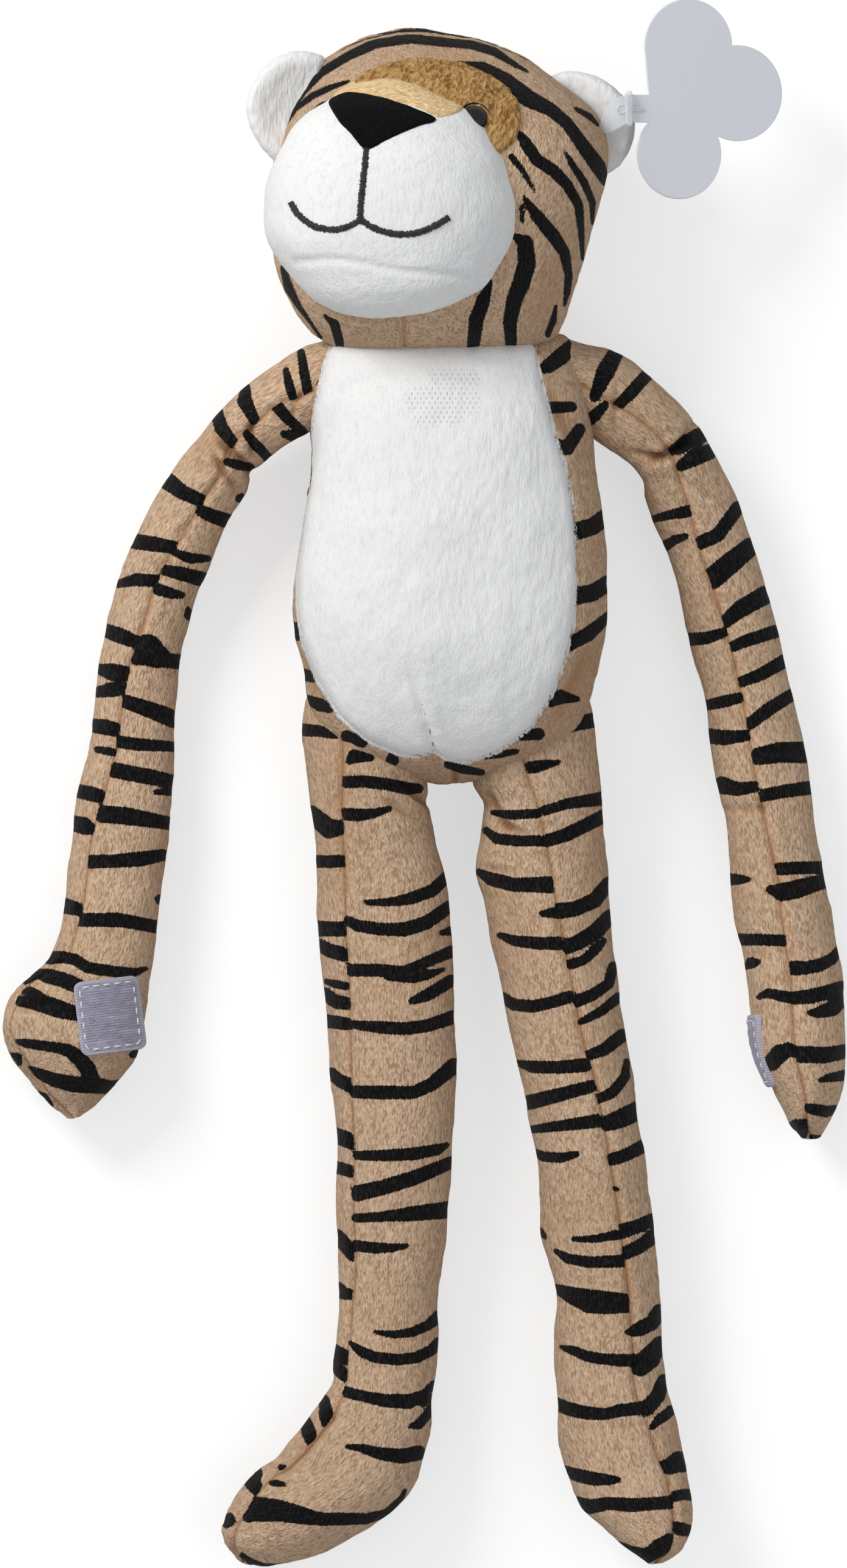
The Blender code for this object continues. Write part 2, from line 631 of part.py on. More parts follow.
class Head:
    """Head cover with its filling, the muzzle and the face."""

    def __init__(self, pivot):
        self.pivot = pivot
        self.centre = Vector((HEAD_OFFSET, HEAD_LINE, HEAD_HALF_DEPTH - FLAT_DEPTH))
        self.muzzle = Vector((MUZZLE_OFFSET, MUZZLE_LINE, MUZZLE_HEIGHT))

    def half_sizes(self, inset):
        """Half width, length and depth of the head, drawn in by an inset."""
        return (HEAD_HALF_WIDTH - inset, HEAD_HALF_LENGTH - inset, HEAD_HALF_DEPTH - inset)

    def muzzle_half_sizes(self, inset):
        """Half width, length and depth of the muzzle, drawn in by an inset."""
        return (MUZZLE_HALF_WIDTH - inset, MUZZLE_HALF_LENGTH - inset, MUZZLE_HALF_DEPTH - inset)

    def rings(self, inset, with_collar, sides=HEAD_SIDES):
        """Sections of the head from the neck's collar to the crown, fewer where they line it."""
        found = []
        if with_collar:
            radius = NECK_DOME_RADIUS + SEAM_WALL + 2.0 * FABRIC_GAP
            reach = math.radians(HEAD_COLLAR_REACH_DEG) - inset / radius
            centre = self.pivot + Vector((0, radius * math.cos(reach), 0))
            half = radius * math.sin(reach)
            found.append(ring(centre, Vector((1, 0, 0)), Vector((0, 0, 1)), half, half, sides))
        for angle_deg in HEAD_ANGLES_DEG[:: 2 if inset > 0.0 else 1]:
            angle = math.radians(angle_deg)
            found.append(
                ball_ring(self.centre, self.half_sizes(inset), HEAD_POWER, angle, sides)
            )
        return found

    def build(self):
        """Make every piece of the head that turns with it."""
        outer = self.rings(0.0, True)
        inner = self.rings(PLUSH_WALL, True)
        cover = piece(
            "head_cover", *shell_loft(outer, inner), "striped_plush", self.pivot, lies_flat=True
        )
        filled = self.rings(PLUSH_WALL + FABRIC_GAP, False, HEAD_SIDES // 2)
        piece("head_filling", *solid_loft(filled), "filling", self.pivot)
        surface = surface_of(cover)
        muzzle_surface = self.build_muzzle()
        self.build_face(surface, muzzle_surface)
        return surface

    def build_muzzle(self):
        """Make the muzzle's cover and filling, both cut by the head."""
        gap = PLUSH_WALL + FABRIC_GAP
        outer = ball_rings(
            self.muzzle, self.muzzle_half_sizes(0.0), MUZZLE_POWER, MUZZLE_RINGS, MUZZLE_SIDES
        )
        lining = ball_rings(
            self.muzzle, self.muzzle_half_sizes(PLUSH_WALL), MUZZLE_POWER, MUZZLE_RINGS, MUZZLE_SIDES
        )
        filled = ball_rings(
            self.muzzle, self.muzzle_half_sizes(gap), MUZZLE_POWER, MUZZLE_RINGS, MUZZLE_SIDES // 2
        )
        cover = piece("muzzle_cover", *solid_loft(outer), "white_plush", self.pivot)
        hollow = cutter_piece("muzzle_hollow", lining, self.pivot)
        filling = piece("muzzle_filling", *solid_loft(filled), "filling", self.pivot)
        clear = cutter_piece("head_clearance", self.rings(-FABRIC_GAP, False), self.pivot)
        cut_away(cover, hollow)
        cut_away(cover, clear)
        cut_away(filling, clear)
        return BVHTree.FromPolygons(*solid_loft(outer))

    def muzzle_clearance(self, gap):
        """Muzzle grown by a gap, used to cut what sits behind it."""
        grown = ball_rings(
            self.muzzle, self.muzzle_half_sizes(-gap), MUZZLE_POWER, MUZZLE_RINGS, MUZZLE_SIDES
        )
        return cutter_piece("muzzle_clearance", grown, self.pivot)

    def build_face(self, surface, muzzle_surface):
        """Make the nose, bridge, mask, eyes and mouth."""
        muzzle = Frame(
            self.muzzle, Vector((MUZZLE_HALF_WIDTH, 0, 0)), Vector((0, MUZZLE_HALF_LENGTH, 0))
        )
        head = Frame(
            self.centre, Vector((HEAD_HALF_WIDTH, 0, 0)), Vector((0, HEAD_HALF_LENGTH, 0))
        )
        nose = laid_patch(
            "nose", muzzle_surface, muzzle, NOSE_OUTLINE_SHARES, NOSE_WALL, "nose_plush",
            self.pivot, NOSE_GAP, NOSE_RINGS,
        )
        above_mask = -STRIP_GAP - FABRIC_GAP - max(MASK_WALL, BRIDGE_WALL)
        cut_away(nose, cutter_piece("face_clearance", self.rings(above_mask, False), self.pivot))
        clear = self.muzzle_clearance(NOSE_GAP + FABRIC_GAP + NOSE_WALL)
        bridge = laid_strip(
            "nose_bridge", surface, head, BRIDGE_LOWER_SHARES, BRIDGE_UPPER_SHARES, MASK_ROWS,
            BRIDGE_WALL, "bridge_plush", self.pivot,
        )
        mask = laid_strip(
            "eye_mask", surface, head, MASK_LOWER_SHARES, MASK_UPPER_SHARES, MASK_ROWS,
            MASK_WALL, "mask_plush", self.pivot,
        )
        cut_away(bridge, clear)
        cut_away(mask, clear)
        right_spot = head.point(*EYE_RIGHT_SHARES)
        self.build_eye("eye_right", surface, right_spot, Vector((0, 0, 1)), MASK_WALL)
        raised = math.radians(EYE_LEFT_RAISED_DEG)
        side = Vector((-math.cos(raised), 0, math.sin(raised)))
        self.build_eye("eye_left", surface, head.point(0.0, EYE_LEFT_LINE_SHARE), side, 0.0)
        for name, knots in (
            ("philtrum", PHILTRUM_SHARES),
            ("smile_left", SMILE_LEFT_SHARES),
            ("smile_right", SMILE_RIGHT_SHARES),
        ):
            route = smooth_route(knots, STITCH_STEPS)
            laid_thread(
                name, muzzle_surface, muzzle, route, STITCH_RADIUS, FABRIC_GAP, False, self.pivot
            )

    def build_eye(self, name, surface, flat, facing, backing):
        """Make one domed eye standing on the cover and its backing."""
        spot, normal = landed(surface, flat, facing)
        base = spot + normal * (STRIP_GAP + FABRIC_GAP + backing)
        side = normal.orthogonal().normalized()
        up = normal.cross(side)
        rings = []
        for step in range(EYE_RINGS):
            angle = math.radians(90.0) * step / EYE_RINGS
            half = EYE_RADIUS * math.cos(angle)
            centre = base + normal * (EYE_BULGE * math.sin(angle))
            rings.append(ring(centre, side, up, half, half, EYE_SIDES))
        piece(name, *solid_loft(rings), "eye_plastic", self.pivot)


def cutter_piece(name, rings, origin):
    """Guide solid through rings that only cuts or joins."""
    cutter = piece(name, *solid_loft(rings), "filling", origin)
    cutter.hide_render = True
    cutter.display_type = "WIRE"
    return cutter


def cut_away(made, cutter, operation="DIFFERENCE"):
    """Cut one object by a guide, or join the guide to it."""
    cut = made.modifiers.new(cutter.name, "BOOLEAN")
    cut.operation = operation
    cut.solver = "EXACT"
    cut.object = cutter


@dataclass
class Segment:
    """One stuffed length of a limb, from its root joint to the next joint or its tip."""

    name: str
    start: Vector
    end: Vector
    root_radius: float
    end_radius: float
    swell: float
    bow: float = 0.0
    half_width: float = 0.0
    half_height: float = 0.0

    @property
    def is_paw(self):
        """Whether the segment ends in a rounded tip."""
        return self.half_width > 0.0

    def frame(self):
        """Unit vectors ahead, to the side and up."""
        ahead = (self.end - self.start).normalized()
        side = ahead.cross(Vector((0, 0, 1))).normalized()
        return ahead, side, side.cross(ahead)

    def half_sizes(self, share, rounding):
        """Half width and half height at a share of the length."""
        if not self.is_paw:
            half = self.root_radius + (self.end_radius - self.root_radius) * share
            half = (half + self.swell * math.sin(math.pi * share)) * rounding
            return half, half
        grown = min(share / PAW_ROUNDING_START_SHARE, 1.0)
        grown = grown * grown * (3.0 - 2.0 * grown)
        beyond = max(share - PAW_ROUNDING_START_SHARE, 0.0) / (1.0 - PAW_ROUNDING_START_SHARE)
        closing = math.sqrt(1.0 - beyond * beyond)
        half_width = self.root_radius + (self.half_width - self.root_radius) * grown
        half_height = self.root_radius + (self.half_height - self.root_radius) * grown
        return half_width * closing, half_height * closing

    def rings(self, inset, sides):
        """Sections of the segment drawn in by an inset, fewer where they line the inside."""
        ahead, side, up = self.frame()
        length = (self.end - self.start).length
        if not self.is_paw:
            length -= self.end_radius + FABRIC_GAP
        found = []
        for angle_deg in BALL_ANGLES_DEG[:: 2 if inset else 1]:
            angle = math.radians(angle_deg)
            radius = self.root_radius - inset
            centre = self.start - ahead * (radius * math.cos(angle))
            half = radius * math.sin(angle)
            found.append(ring(centre, side, up, half, half, sides))
        shares = PAW_STATION_SHARES if self.is_paw else LIMB_STATION_SHARES
        roundings = (1.0,) * len(shares) if self.is_paw else LIMB_ROUNDING_SHARES
        stations = list(zip(shares, roundings))
        for share, rounding in stations[1::2] if inset else stations:
            half_width, half_height = self.half_sizes(share, rounding)
            full_height = self.half_sizes(min(share, PAW_ROUNDING_START_SHARE), 1.0)[1]
            if not self.is_paw:
                full_height = self.half_sizes(share, 1.0)[1]
            centre = self.start + ahead * ((length - inset) * share)
            lift = max(full_height - FLAT_DEPTH - centre.z, 0.0)
            bowed = self.bow * math.sin(math.pi * share) ** 2
            centre += Vector((0, 0, lift)) + side * bowed
            found.append(
                ring(
                    centre, side, up,
                    half_width - inset, half_height - inset, sides,
                )
            )
        return found

    def build(self):
        """Make the cover and its filling."""
        outer = self.rings(0.0, LIMB_SIDES)
        inner = self.rings(PLUSH_WALL, LIMB_SIDES)
        cover = piece(
            self.name + "_cover", *shell_loft(outer, inner), "striped_plush",
            self.start, lies_flat=True,
        )
        filled = self.rings(PLUSH_WALL + FABRIC_GAP, FILLING_SIDES)
        piece(self.name + "_filling", *solid_loft(filled), "filling", self.start)
        return surface_of(cover)


def build_seam(name, centre, radius, half_height, middle_deg):
    """Band of seam allowance that hugs a limb's root on the torso's side."""
    inner_radius = radius + FABRIC_GAP
    rings = []
    for step in range(SEAM_STEPS + 1):
        share = 2.0 * step / SEAM_STEPS - 1.0
        out = direction(middle_deg + SEAM_HALF_REACH_DEG * share)
        corners = []
        for reach, height in (
            (inner_radius, -half_height),
            (inner_radius + SEAM_WALL, -half_height),
            (inner_radius + SEAM_WALL, half_height),
            (inner_radius, half_height),
        ):
            corners.append(centre + out * reach + Vector((0, 0, height)))
        rings.append(corners)
    piece(name, *solid_loft(rings), "seam_tape", centre)


def next_joint(start, length, heading_deg, radius):
    """Place of the next joint, which lies on the floor."""
    level = radius - FLAT_DEPTH
    drop = start.z - level
    run = math.sqrt(length * length - drop * drop)
    place = start + direction(heading_deg) * run
    place.z = level
    return place


def build_arm(side, shoulder, headings_deg, hand_half_width, hand_half_height, bow):
    """Make one arm and return its wrist, its hand and the hand's surface."""
    elbow = next_joint(shoulder, UPPER_ARM_LENGTH, headings_deg[0], ELBOW_RADIUS)
    wrist = next_joint(elbow, FOREARM_LENGTH, headings_deg[1], WRIST_RADIUS)
    tip = wrist + direction(headings_deg[2]) * HAND_LENGTH
    Segment(
        "upper_arm_" + side, shoulder, elbow, SHOULDER_RADIUS, ELBOW_RADIUS, UPPER_ARM_SWELL, bow
    ).build()
    Segment(
        "forearm_" + side, elbow, wrist, ELBOW_RADIUS, WRIST_RADIUS, FOREARM_SWELL, bow
    ).build()
    hand = Segment(
        "hand_" + side, wrist, tip, WRIST_RADIUS, 0.0, 0.0, 0.0, hand_half_width, hand_half_height
    )
    return wrist, hand, hand.build()


def build_leg(side, hip, headings_deg, bow):
    """Make one leg, whose foot lies on its side or rises."""
    knee = next_joint(hip, THIGH_LENGTH, headings_deg[0], KNEE_RADIUS)
    ankle = next_joint(knee, SHIN_LENGTH, headings_deg[1], ANKLE_RADIUS)
    if side == "left":
        toe = ankle + direction(headings_deg[2]) * LEFT_FOOT_LENGTH
        half_width, half_height = FOOT_HALF_WIDTH, FOOT_HALF_THICK
    else:
        toe = ankle + direction(headings_deg[2]) * RIGHT_FOOT_LENGTH
        toe.z += RIGHT_FOOT_RISE
        half_width, half_height = RIGHT_FOOT_HALF_WIDTH, RIGHT_FOOT_HALF_THICK
    Segment("thigh_" + side, hip, knee, HIP_RADIUS, KNEE_RADIUS, THIGH_SWELL, bow).build()
    Segment("shin_" + side, knee, ankle, KNEE_RADIUS, ANKLE_RADIUS, SHIN_SWELL).build()
    Segment(
        "foot_" + side, ankle, toe, ANKLE_RADIUS, 0.0, 0.0, 0.0, half_width, half_height
    ).build()


def pad_outline(half_width, half_length):
    """Rounded square outline of a palm pad."""
    corner = min(half_width, half_length) * PAD_CORNER_SHARE
    outline = []
    for across_sign, along_sign, start_deg in ((1, 1, 0), (-1, 1, 90), (-1, -1, 180), (1, -1, 270)):
        for step in range(PAD_CORNER_STEPS + 1):
            turn = direction(start_deg + 90.0 * step / PAD_CORNER_STEPS) * corner
            outline.append(
                (
                    across_sign * (half_width - corner) + turn.x,
                    along_sign * (half_length - corner) + turn.y,
                )
            )
        next_across, next_along = {
            (1, 1): (0.0, half_length), (-1, 1): (-half_width, 0.0),
            (-1, -1): (0.0, -half_length), (1, -1): (half_width, 0.0),
        }[(across_sign, along_sign)]
        outline.append((next_across, next_along))
    return outline


def build_pad(side, surface, frame, origin):
    """Make one palm pad and the line of stitching that holds it."""
    outline = pad_outline(PAD_HALF_WIDTH, PAD_HALF_LENGTH)
    laid_patch(
        "palm_pad_" + side, surface, frame, outline, PAD_WALL, "pad_tape", origin, PAD_GAP, PAD_RINGS
    )
    stitches = pad_outline(PAD_HALF_WIDTH - PAD_STITCH_INSET, PAD_HALF_LENGTH - PAD_STITCH_INSET)
    laid_thread(
        "pad_stitching_" + side, surface, frame, stitches, PAD_STITCH_RADIUS,
        PAD_GAP + PAD_WALL + FABRIC_GAP, True, origin,
    )


def build_tail():
    """Make the tail, which curves out under the left flank."""
    root = Vector((0, TAIL_ROOT_LINE, TAIL_RADIUS - FLAT_DEPTH))
    middle_line = TAIL_ROOT_LINE + TAIL_SWEEP
    route = []
    for step in range(TAIL_ARC_STEPS + 1):
        angle = math.radians(90.0) * step / TAIL_ARC_STEPS
        across, along = math.sin(angle), math.cos(angle)
        place = Vector((-TAIL_FLANK * across, middle_line - TAIL_SWEEP * along, root.z))
        ahead = Vector((-TAIL_FLANK * along, TAIL_SWEEP * across, 0)).normalized()
        route.append((place, ahead, 1.0))
    for step in range(1, TAIL_STRAIGHT_STEPS):
        share = step / TAIL_STRAIGHT_STEPS
        place = Vector((-TAIL_FLANK, middle_line + TAIL_STRAIGHT * share, root.z))
        route.append((place, Vector((0, 1, 0)), 1.0))
    last_start = TAIL_STRAIGHT * (TAIL_STRAIGHT_STEPS - 1) / TAIL_STRAIGHT_STEPS
    last_run = TAIL_STRAIGHT - last_start
    for along, size in TAIL_TIP_SHARES:
        place = Vector((-TAIL_FLANK, middle_line + last_start + last_run * along, root.z))
        route.append((place, Vector((0, 1, 0)), size))
    outer = []
    inner = []
    filled = []
    for index, (place, ahead, size) in enumerate(route):
        side = ahead.cross(Vector((0, 0, 1)))
        up = Vector((0, 0, 1))
        half = TAIL_RADIUS * size
        outer.append(ring(place, side, up, half, half, TAIL_SIDES))
        if size > TAIL_HOLLOW_SHARE:
            thin = half - TAIL_WALL
            inner.append(ring(place, side, up, thin, thin, TAIL_SIDES))
            core = thin - FABRIC_GAP
            if index:
                filled.append(ring(place, side, up, core, core, TAIL_SIDES))
    piece("tail_cover", *shell_loft(outer, inner), "striped_plush", root, lies_flat=True)
    piece("tail_filling", *solid_loft(filled), "filling", root)


class Ear:
    """One ear, a white front and a striped back, seated on the head."""

    def __init__(self, side, surface, level, heading_deg, height):
        self.side = side
        self.height = height
        sign = 1.0 if side == "right" else -1.0
        self.out = direction(heading_deg)
        start = Vector((HEAD_OFFSET, HEAD_LINE, level))
        far = start + self.out * (HEAD_HALF_LENGTH + HEAD_HALF_WIDTH)
        self.base = surface.ray_cast(far, -self.out)[0] + self.out * EAR_STAND_OFF
        tilt = math.radians(EAR_TILT_DEG)
        self.out = (self.out * math.cos(tilt) + Vector((0, 0, math.sin(tilt)))).normalized()
        self.across = self.out.cross(Vector((0, 0, 1))).normalized() * sign
        self.facing = self.across.cross(self.out).normalized() * sign

    def grid(self, lift):
        """Points of one side of the ear, row by row."""
        rows = []
        for row in range(EAR_ROWS + 1):
            share = row / EAR_ROWS
            along = -EAR_ROOT + (EAR_ROOT + self.height) * share
            beyond = max(along, 0.0) / self.height
            half = EAR_HALF_WIDTH * math.sqrt(1.0 - EAR_NARROWING_SHARE * beyond**EAR_POWER)
            points = []
            for column in range(EAR_COLUMNS + 1):
                place = 2.0 * column / EAR_COLUMNS - 1.0
                cup = EAR_CUP * place * place * half / EAR_HALF_WIDTH
                points.append(
                    self.base + self.out * along + self.across * (half * place)
                    + self.facing * (lift + cup)
                )
            rows.append(points)
        return rows

    def build(self, clearances):
        """Make the ear's two panels, both cut by the head and the muzzle."""
        half_gap = FABRIC_GAP / 2.0
        front = piece(
            "ear_front_" + self.side,
            *grid_plate(self.grid(half_gap), self.grid(half_gap + EAR_WALL)),
            "white_plush", self.base,
        )
        back = piece(
            "ear_back_" + self.side,
            *grid_plate(self.grid(-half_gap - EAR_WALL), self.grid(-half_gap)),
            "striped_plush", self.base,
        )
        for clearance in clearances:
            cut_away(front, clearance)
            cut_away(back, clearance)
        return surface_of(front)


class SwingTag:
    """Blank card that hangs from a plastic clip in the right ear."""

    def __init__(self):
        tilt = math.radians(TAG_TILT_DEG)
        self.pin = Vector((TAG_OFFSET, TAG_LINE, TAG_LEVEL))
        self.out = Vector((math.cos(tilt), 0, -math.sin(tilt)))
        self.across = Vector((0, 1, 0))
        self.facing = self.out.cross(self.across)

    def place(self, along, aside, lift):
        """Point in the card's own frame."""
        return self.pin + self.out * along + self.across * aside + self.facing * lift

    @staticmethod
    def meeting(first, second):
        """Outer crossing of two lobes, as seen from each centre, in degrees."""
        between = Vector((second[0] - first[0], second[1] - first[1]))
        span = between.length
        bearing = math.degrees(math.atan2(between.y, between.x))
        openings = []
        for near, far in ((first[2], second[2]), (second[2], first[2])):
            share = (span**2 + near**2 - far**2) / (2.0 * span * near)
            openings.append(math.degrees(math.acos(min(share, 1.0))))
        return bearing - openings[0], bearing + HALF_TURN_DEG + openings[1]

    def outline(self):
        """Three-lobed outline of the card with its neck."""
        low = (TAG_LOW_REACH, TAG_LOW_SPREAD, TAG_LOW_RADIUS)
        far = (TAG_FAR_REACH, TAG_FAR_SPREAD, TAG_FAR_RADIUS)
        top = (TAG_TOP_REACH, TAG_TOP_SPREAD, TAG_TOP_RADIUS)
        low_end, far_start = self.meeting(low, far)
        far_end, top_start = self.meeting(far, top)
        turn_deg = 2.0 * HALF_TURN_DEG
        points = [(-TAG_NECK_HALF_WIDTH, -TAG_NECK_HALF_WIDTH), (TAG_NECK_ROOT, -TAG_NECK_HALF_WIDTH)]
        arcs = (
            (low, TAG_FIRST_DEG, low_end),
            (far, far_start - turn_deg, far_end),
            (top, top_start - turn_deg, TAG_LAST_DEG),
        )
        for (along, aside, radius), first_deg, last_deg in arcs:
            for step in range(TAG_LOBE_STEPS + 1):
                turn = direction(first_deg + (last_deg - first_deg) * step / TAG_LOBE_STEPS)
                points.append((along + turn.x * radius, aside + turn.y * radius))
        points += [(TAG_NECK_ROOT, TAG_NECK_HALF_WIDTH), (-TAG_NECK_HALF_WIDTH, TAG_NECK_HALF_WIDTH)]
        return points

    def build(self, ear_surface):
        """Make the card, with its hole, and the clip that holds it."""
        outline = self.outline()
        count = len(outline)
        points = []
        for lift in (0.0, TAG_WALL):
            points += [self.place(along, aside, lift) for along, aside in outline]
        faces = [tuple(range(count - 1, -1, -1)), tuple(range(count, 2 * count))]
        faces += band_faces(0, count, count)
        card = piece("tag_card", points, faces, "card", self.pin)
        reach = CUT_OVERRUN
        rings = [
            ring(self.place(0.0, 0.0, lift), self.out, self.across,
                 TAG_HOLE_RADIUS, TAG_HOLE_RADIUS, EYE_SIDES)
            for lift in (-reach, reach)
        ]
        cut_away(card, cutter_piece("tag_hole", rings, self.pin))
        self.build_clip(ear_surface)

    def slab(self, name, first, last, lift, half_width, wall):
        """Flat bar of the clip between two places in plan."""
        ahead = (Vector(last) - Vector(first)).normalized()
        side = Vector((-ahead.y, ahead.x))
        rings = []
        for end in (first, last):
            corners = []
            for aside, height in ((-1, 0), (1, 0), (1, 1), (-1, 1)):
                spot = Vector(end) + side * (aside * half_width)
                corners.append(self.place(spot.x, spot.y, lift + height * wall))
            rings.append(corners)
        return cutter_piece(name, rings, self.pin)

    def build_clip(self, ear_surface):
        """Make the pin, its bar over the card and the tab that reaches the ear."""
        top = TAG_WALL + FABRIC_GAP
        bottom = -FABRIC_GAP - TAG_TAB_DROP
        rings = [
            ring(self.place(0.0, 0.0, lift), self.out, self.across,
                 TAG_PIN_RADIUS, TAG_PIN_RADIUS, EYE_SIDES)
            for lift in (bottom, top + TAG_BAR_WALL / 2.0)
        ]
        clip = piece("tag_clip", *solid_loft(rings), "clear_plastic", self.pin)
        bar = self.slab(
            "tag_bar", (0.0, -TAG_BAR_HALF_LENGTH), (0.0, TAG_BAR_HALF_LENGTH), top,
            TAG_BAR_HALF_WIDTH, TAG_BAR_WALL,
        )
        start = self.place(0.0, 0.0, bottom)
        below = self.place(-TAG_TAB_LENGTH, 0.0, bottom)
        spot, _ = landed(ear_surface, below, Vector((0, 0, 1)))
        seat = spot + Vector((0, 0, FABRIC_GAP))
        rings = []
        for end in (start, seat):
            corners = []
            for aside, height in ((-1, 0), (1, 0), (1, 1), (-1, 1)):
                raised = Vector((0, 0, height * TAG_BAR_WALL))
                corners.append(end + self.across * (aside * TAG_BAR_HALF_WIDTH) + raised)
            rings.append(corners)
        tab = cutter_piece("tag_tab", rings, self.pin)
        cut_away(clip, bar, "UNION")
        cut_away(clip, tab, "UNION")


def main():
    """Build the whole toy."""
    for old in list(bpy.data.objects):
        bpy.data.objects.remove(old)
    torso = Torso()
    torso_surface = torso.build()
    build_neck_seam(torso.pivot)
    head = Head(torso.pivot)
    head_surface = head.build()
    clearances = (
        cutter_piece("ear_clearance", head.rings(-EAR_BASE_GAP, False), head.pivot),
        head.muzzle_clearance(EAR_BASE_GAP),
    )
    for side, level, heading_deg, height in (
        ("left", EAR_LEFT_LEVEL, EAR_LEFT_HEADING_DEG, EAR_LEFT_HEIGHT),
        ("right", EAR_RIGHT_LEVEL, EAR_RIGHT_HEADING_DEG, EAR_RIGHT_HEIGHT),
    ):
        ear = Ear(side, head_surface, level, heading_deg, height)
        ear_surface = ear.build(clearances)
    SwingTag().build(ear_surface)
    seam_room = 2.0 * FABRIC_GAP + SEAM_WALL
    start = Vector((0, SHOULDER_LINE, SHOULDER_LEVEL))
    clear = SHOULDER_RADIUS + seam_room
    shoulder_left = seated_beside(torso_surface, start, Vector((-1, 0, 0)), clear)
    shoulder_right = seated_beside(torso_surface, start, Vector((1, 0, 0)), clear)
    for name, shoulder, middle_deg in (
        ("shoulder_seam_left", shoulder_left, LEFT_SHOULDER_SEAM_DEG),
        ("shoulder_seam_right", shoulder_right, RIGHT_SHOULDER_SEAM_DEG),
    ):
        build_seam(name, shoulder, SHOULDER_RADIUS, SHOULDER_SEAM_HALF_HEIGHT, middle_deg)
    left = build_arm(
        "left", shoulder_left, LEFT_ARM_HEADINGS_DEG, HAND_HALF_WIDTH, HAND_HALF_THICK, ARM_BOW
    )
    right = build_arm(
        "right", shoulder_right, RIGHT_ARM_HEADINGS_DEG, HAND_EDGE_HALF_THICK, HAND_HALF_WIDTH,
        -ARM_BOW,
    )
    build_pads(left, right)
    for side, offset, headings, bow in (
        ("left", HIP_LEFT_OFFSET, LEFT_LEG_HEADINGS_DEG, -LEG_BOW),
        ("right", HIP_RIGHT_OFFSET, RIGHT_LEG_HEADINGS_DEG, LEG_BOW),
    ):
        start = Vector((offset, 0, HIP_RADIUS - FLAT_DEPTH))
        hip = seated_beside(torso_surface, start, Vector((0, -1, 0)), HIP_RADIUS + seam_room)
        build_seam("hip_seam_" + side, hip, HIP_RADIUS, HIP_SEAM_HALF_HEIGHT, HIP_SEAM_DEG)
        build_leg(side, hip, headings, bow)
    build_tail()


def seated_beside(surface, start, along, clearance):
    """Leave a solid along a direction and stop at a clearance outside it."""
    out = start + along * (TORSO_HALF_WIDTH + TORSO_DROP)
    hit = surface.ray_cast(out, -along)[0]
    return seated(surface, hit, along, clearance)


def build_pads(left, right):
    """Make the two palm pads, one facing up and one facing the body."""
    wrist, hand, surface = left
    ahead, side, _ = hand.frame()
    turned = direction(LEFT_ARM_HEADINGS_DEG[2] + LEFT_PAD_TURN_DEG)
    centre = wrist + ahead * LEFT_PAD_ALONG - side * LEFT_PAD_ASIDE
    across = turned.cross(Vector((0, 0, 1)))
    build_pad("left", surface, Frame(centre, across, turned), wrist)
    wrist, hand, surface = right
    ahead = hand.frame()[0]
    raised = HAND_HALF_WIDTH - WRIST_RADIUS + RIGHT_PAD_RAISED
    centre = wrist + ahead * RIGHT_PAD_ALONG + Vector((0, 0, raised))
    build_pad("right", surface, Frame(centre, Vector((0, 0, -1)), ahead), wrist)


main()
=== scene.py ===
"""Looks of the plush tiger: pile skins, face, palm pads, ears, tail, swing tag, camera and light.

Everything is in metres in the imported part's frame. Tables of places are in millimetres. A stroke
is one row of numbers: across, along and half width at each of its points. An outline is one row
of places across and along.
"""

import logging
import math
from dataclasses import dataclass, field
from enum import Enum
from typing import Optional, Sequence, Union

import bmesh
import bpy
import numpy as np
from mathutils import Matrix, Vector
from mathutils.bvhtree import BVHTree
from mathutils.geometry import tessellate_polygon
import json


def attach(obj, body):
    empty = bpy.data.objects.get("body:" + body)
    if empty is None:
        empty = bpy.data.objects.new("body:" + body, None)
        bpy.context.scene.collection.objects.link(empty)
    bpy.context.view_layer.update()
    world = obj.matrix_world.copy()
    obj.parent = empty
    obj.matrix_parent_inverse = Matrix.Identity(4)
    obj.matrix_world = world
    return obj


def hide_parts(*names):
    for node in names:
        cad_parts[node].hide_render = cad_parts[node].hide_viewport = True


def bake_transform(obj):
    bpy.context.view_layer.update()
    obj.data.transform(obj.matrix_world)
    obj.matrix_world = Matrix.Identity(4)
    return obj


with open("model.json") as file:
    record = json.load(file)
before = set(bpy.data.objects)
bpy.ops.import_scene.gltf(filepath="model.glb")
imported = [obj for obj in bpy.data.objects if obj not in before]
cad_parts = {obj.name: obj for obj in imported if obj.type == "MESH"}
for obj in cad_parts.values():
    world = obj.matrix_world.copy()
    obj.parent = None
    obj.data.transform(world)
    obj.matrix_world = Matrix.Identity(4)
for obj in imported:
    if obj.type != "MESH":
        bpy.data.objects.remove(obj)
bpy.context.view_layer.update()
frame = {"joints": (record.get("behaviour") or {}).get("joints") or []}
log = logging.getLogger("plush_tiger")

MM = 0.001
FULL_TURN = 2.0 * math.pi
TINY = 1e-12
FAR = 20.0 * MM
SEAM_REACH = 1.2 * MM
GROOVE_FACE = -0.2
REST_LEVEL = 0.12 * MM
BEND_ROWS = 6
Array = np.ndarray
Numbers = tuple[float, ...]
Strokes = tuple[Numbers, ...]
Place = tuple[float, float, float]
Caps = tuple[bool, bool]
Piece = bpy.types.Object
Material = bpy.types.Material
Finishes = dict[str, Material]
Value = Union["Shade", "Dye", float, tuple]

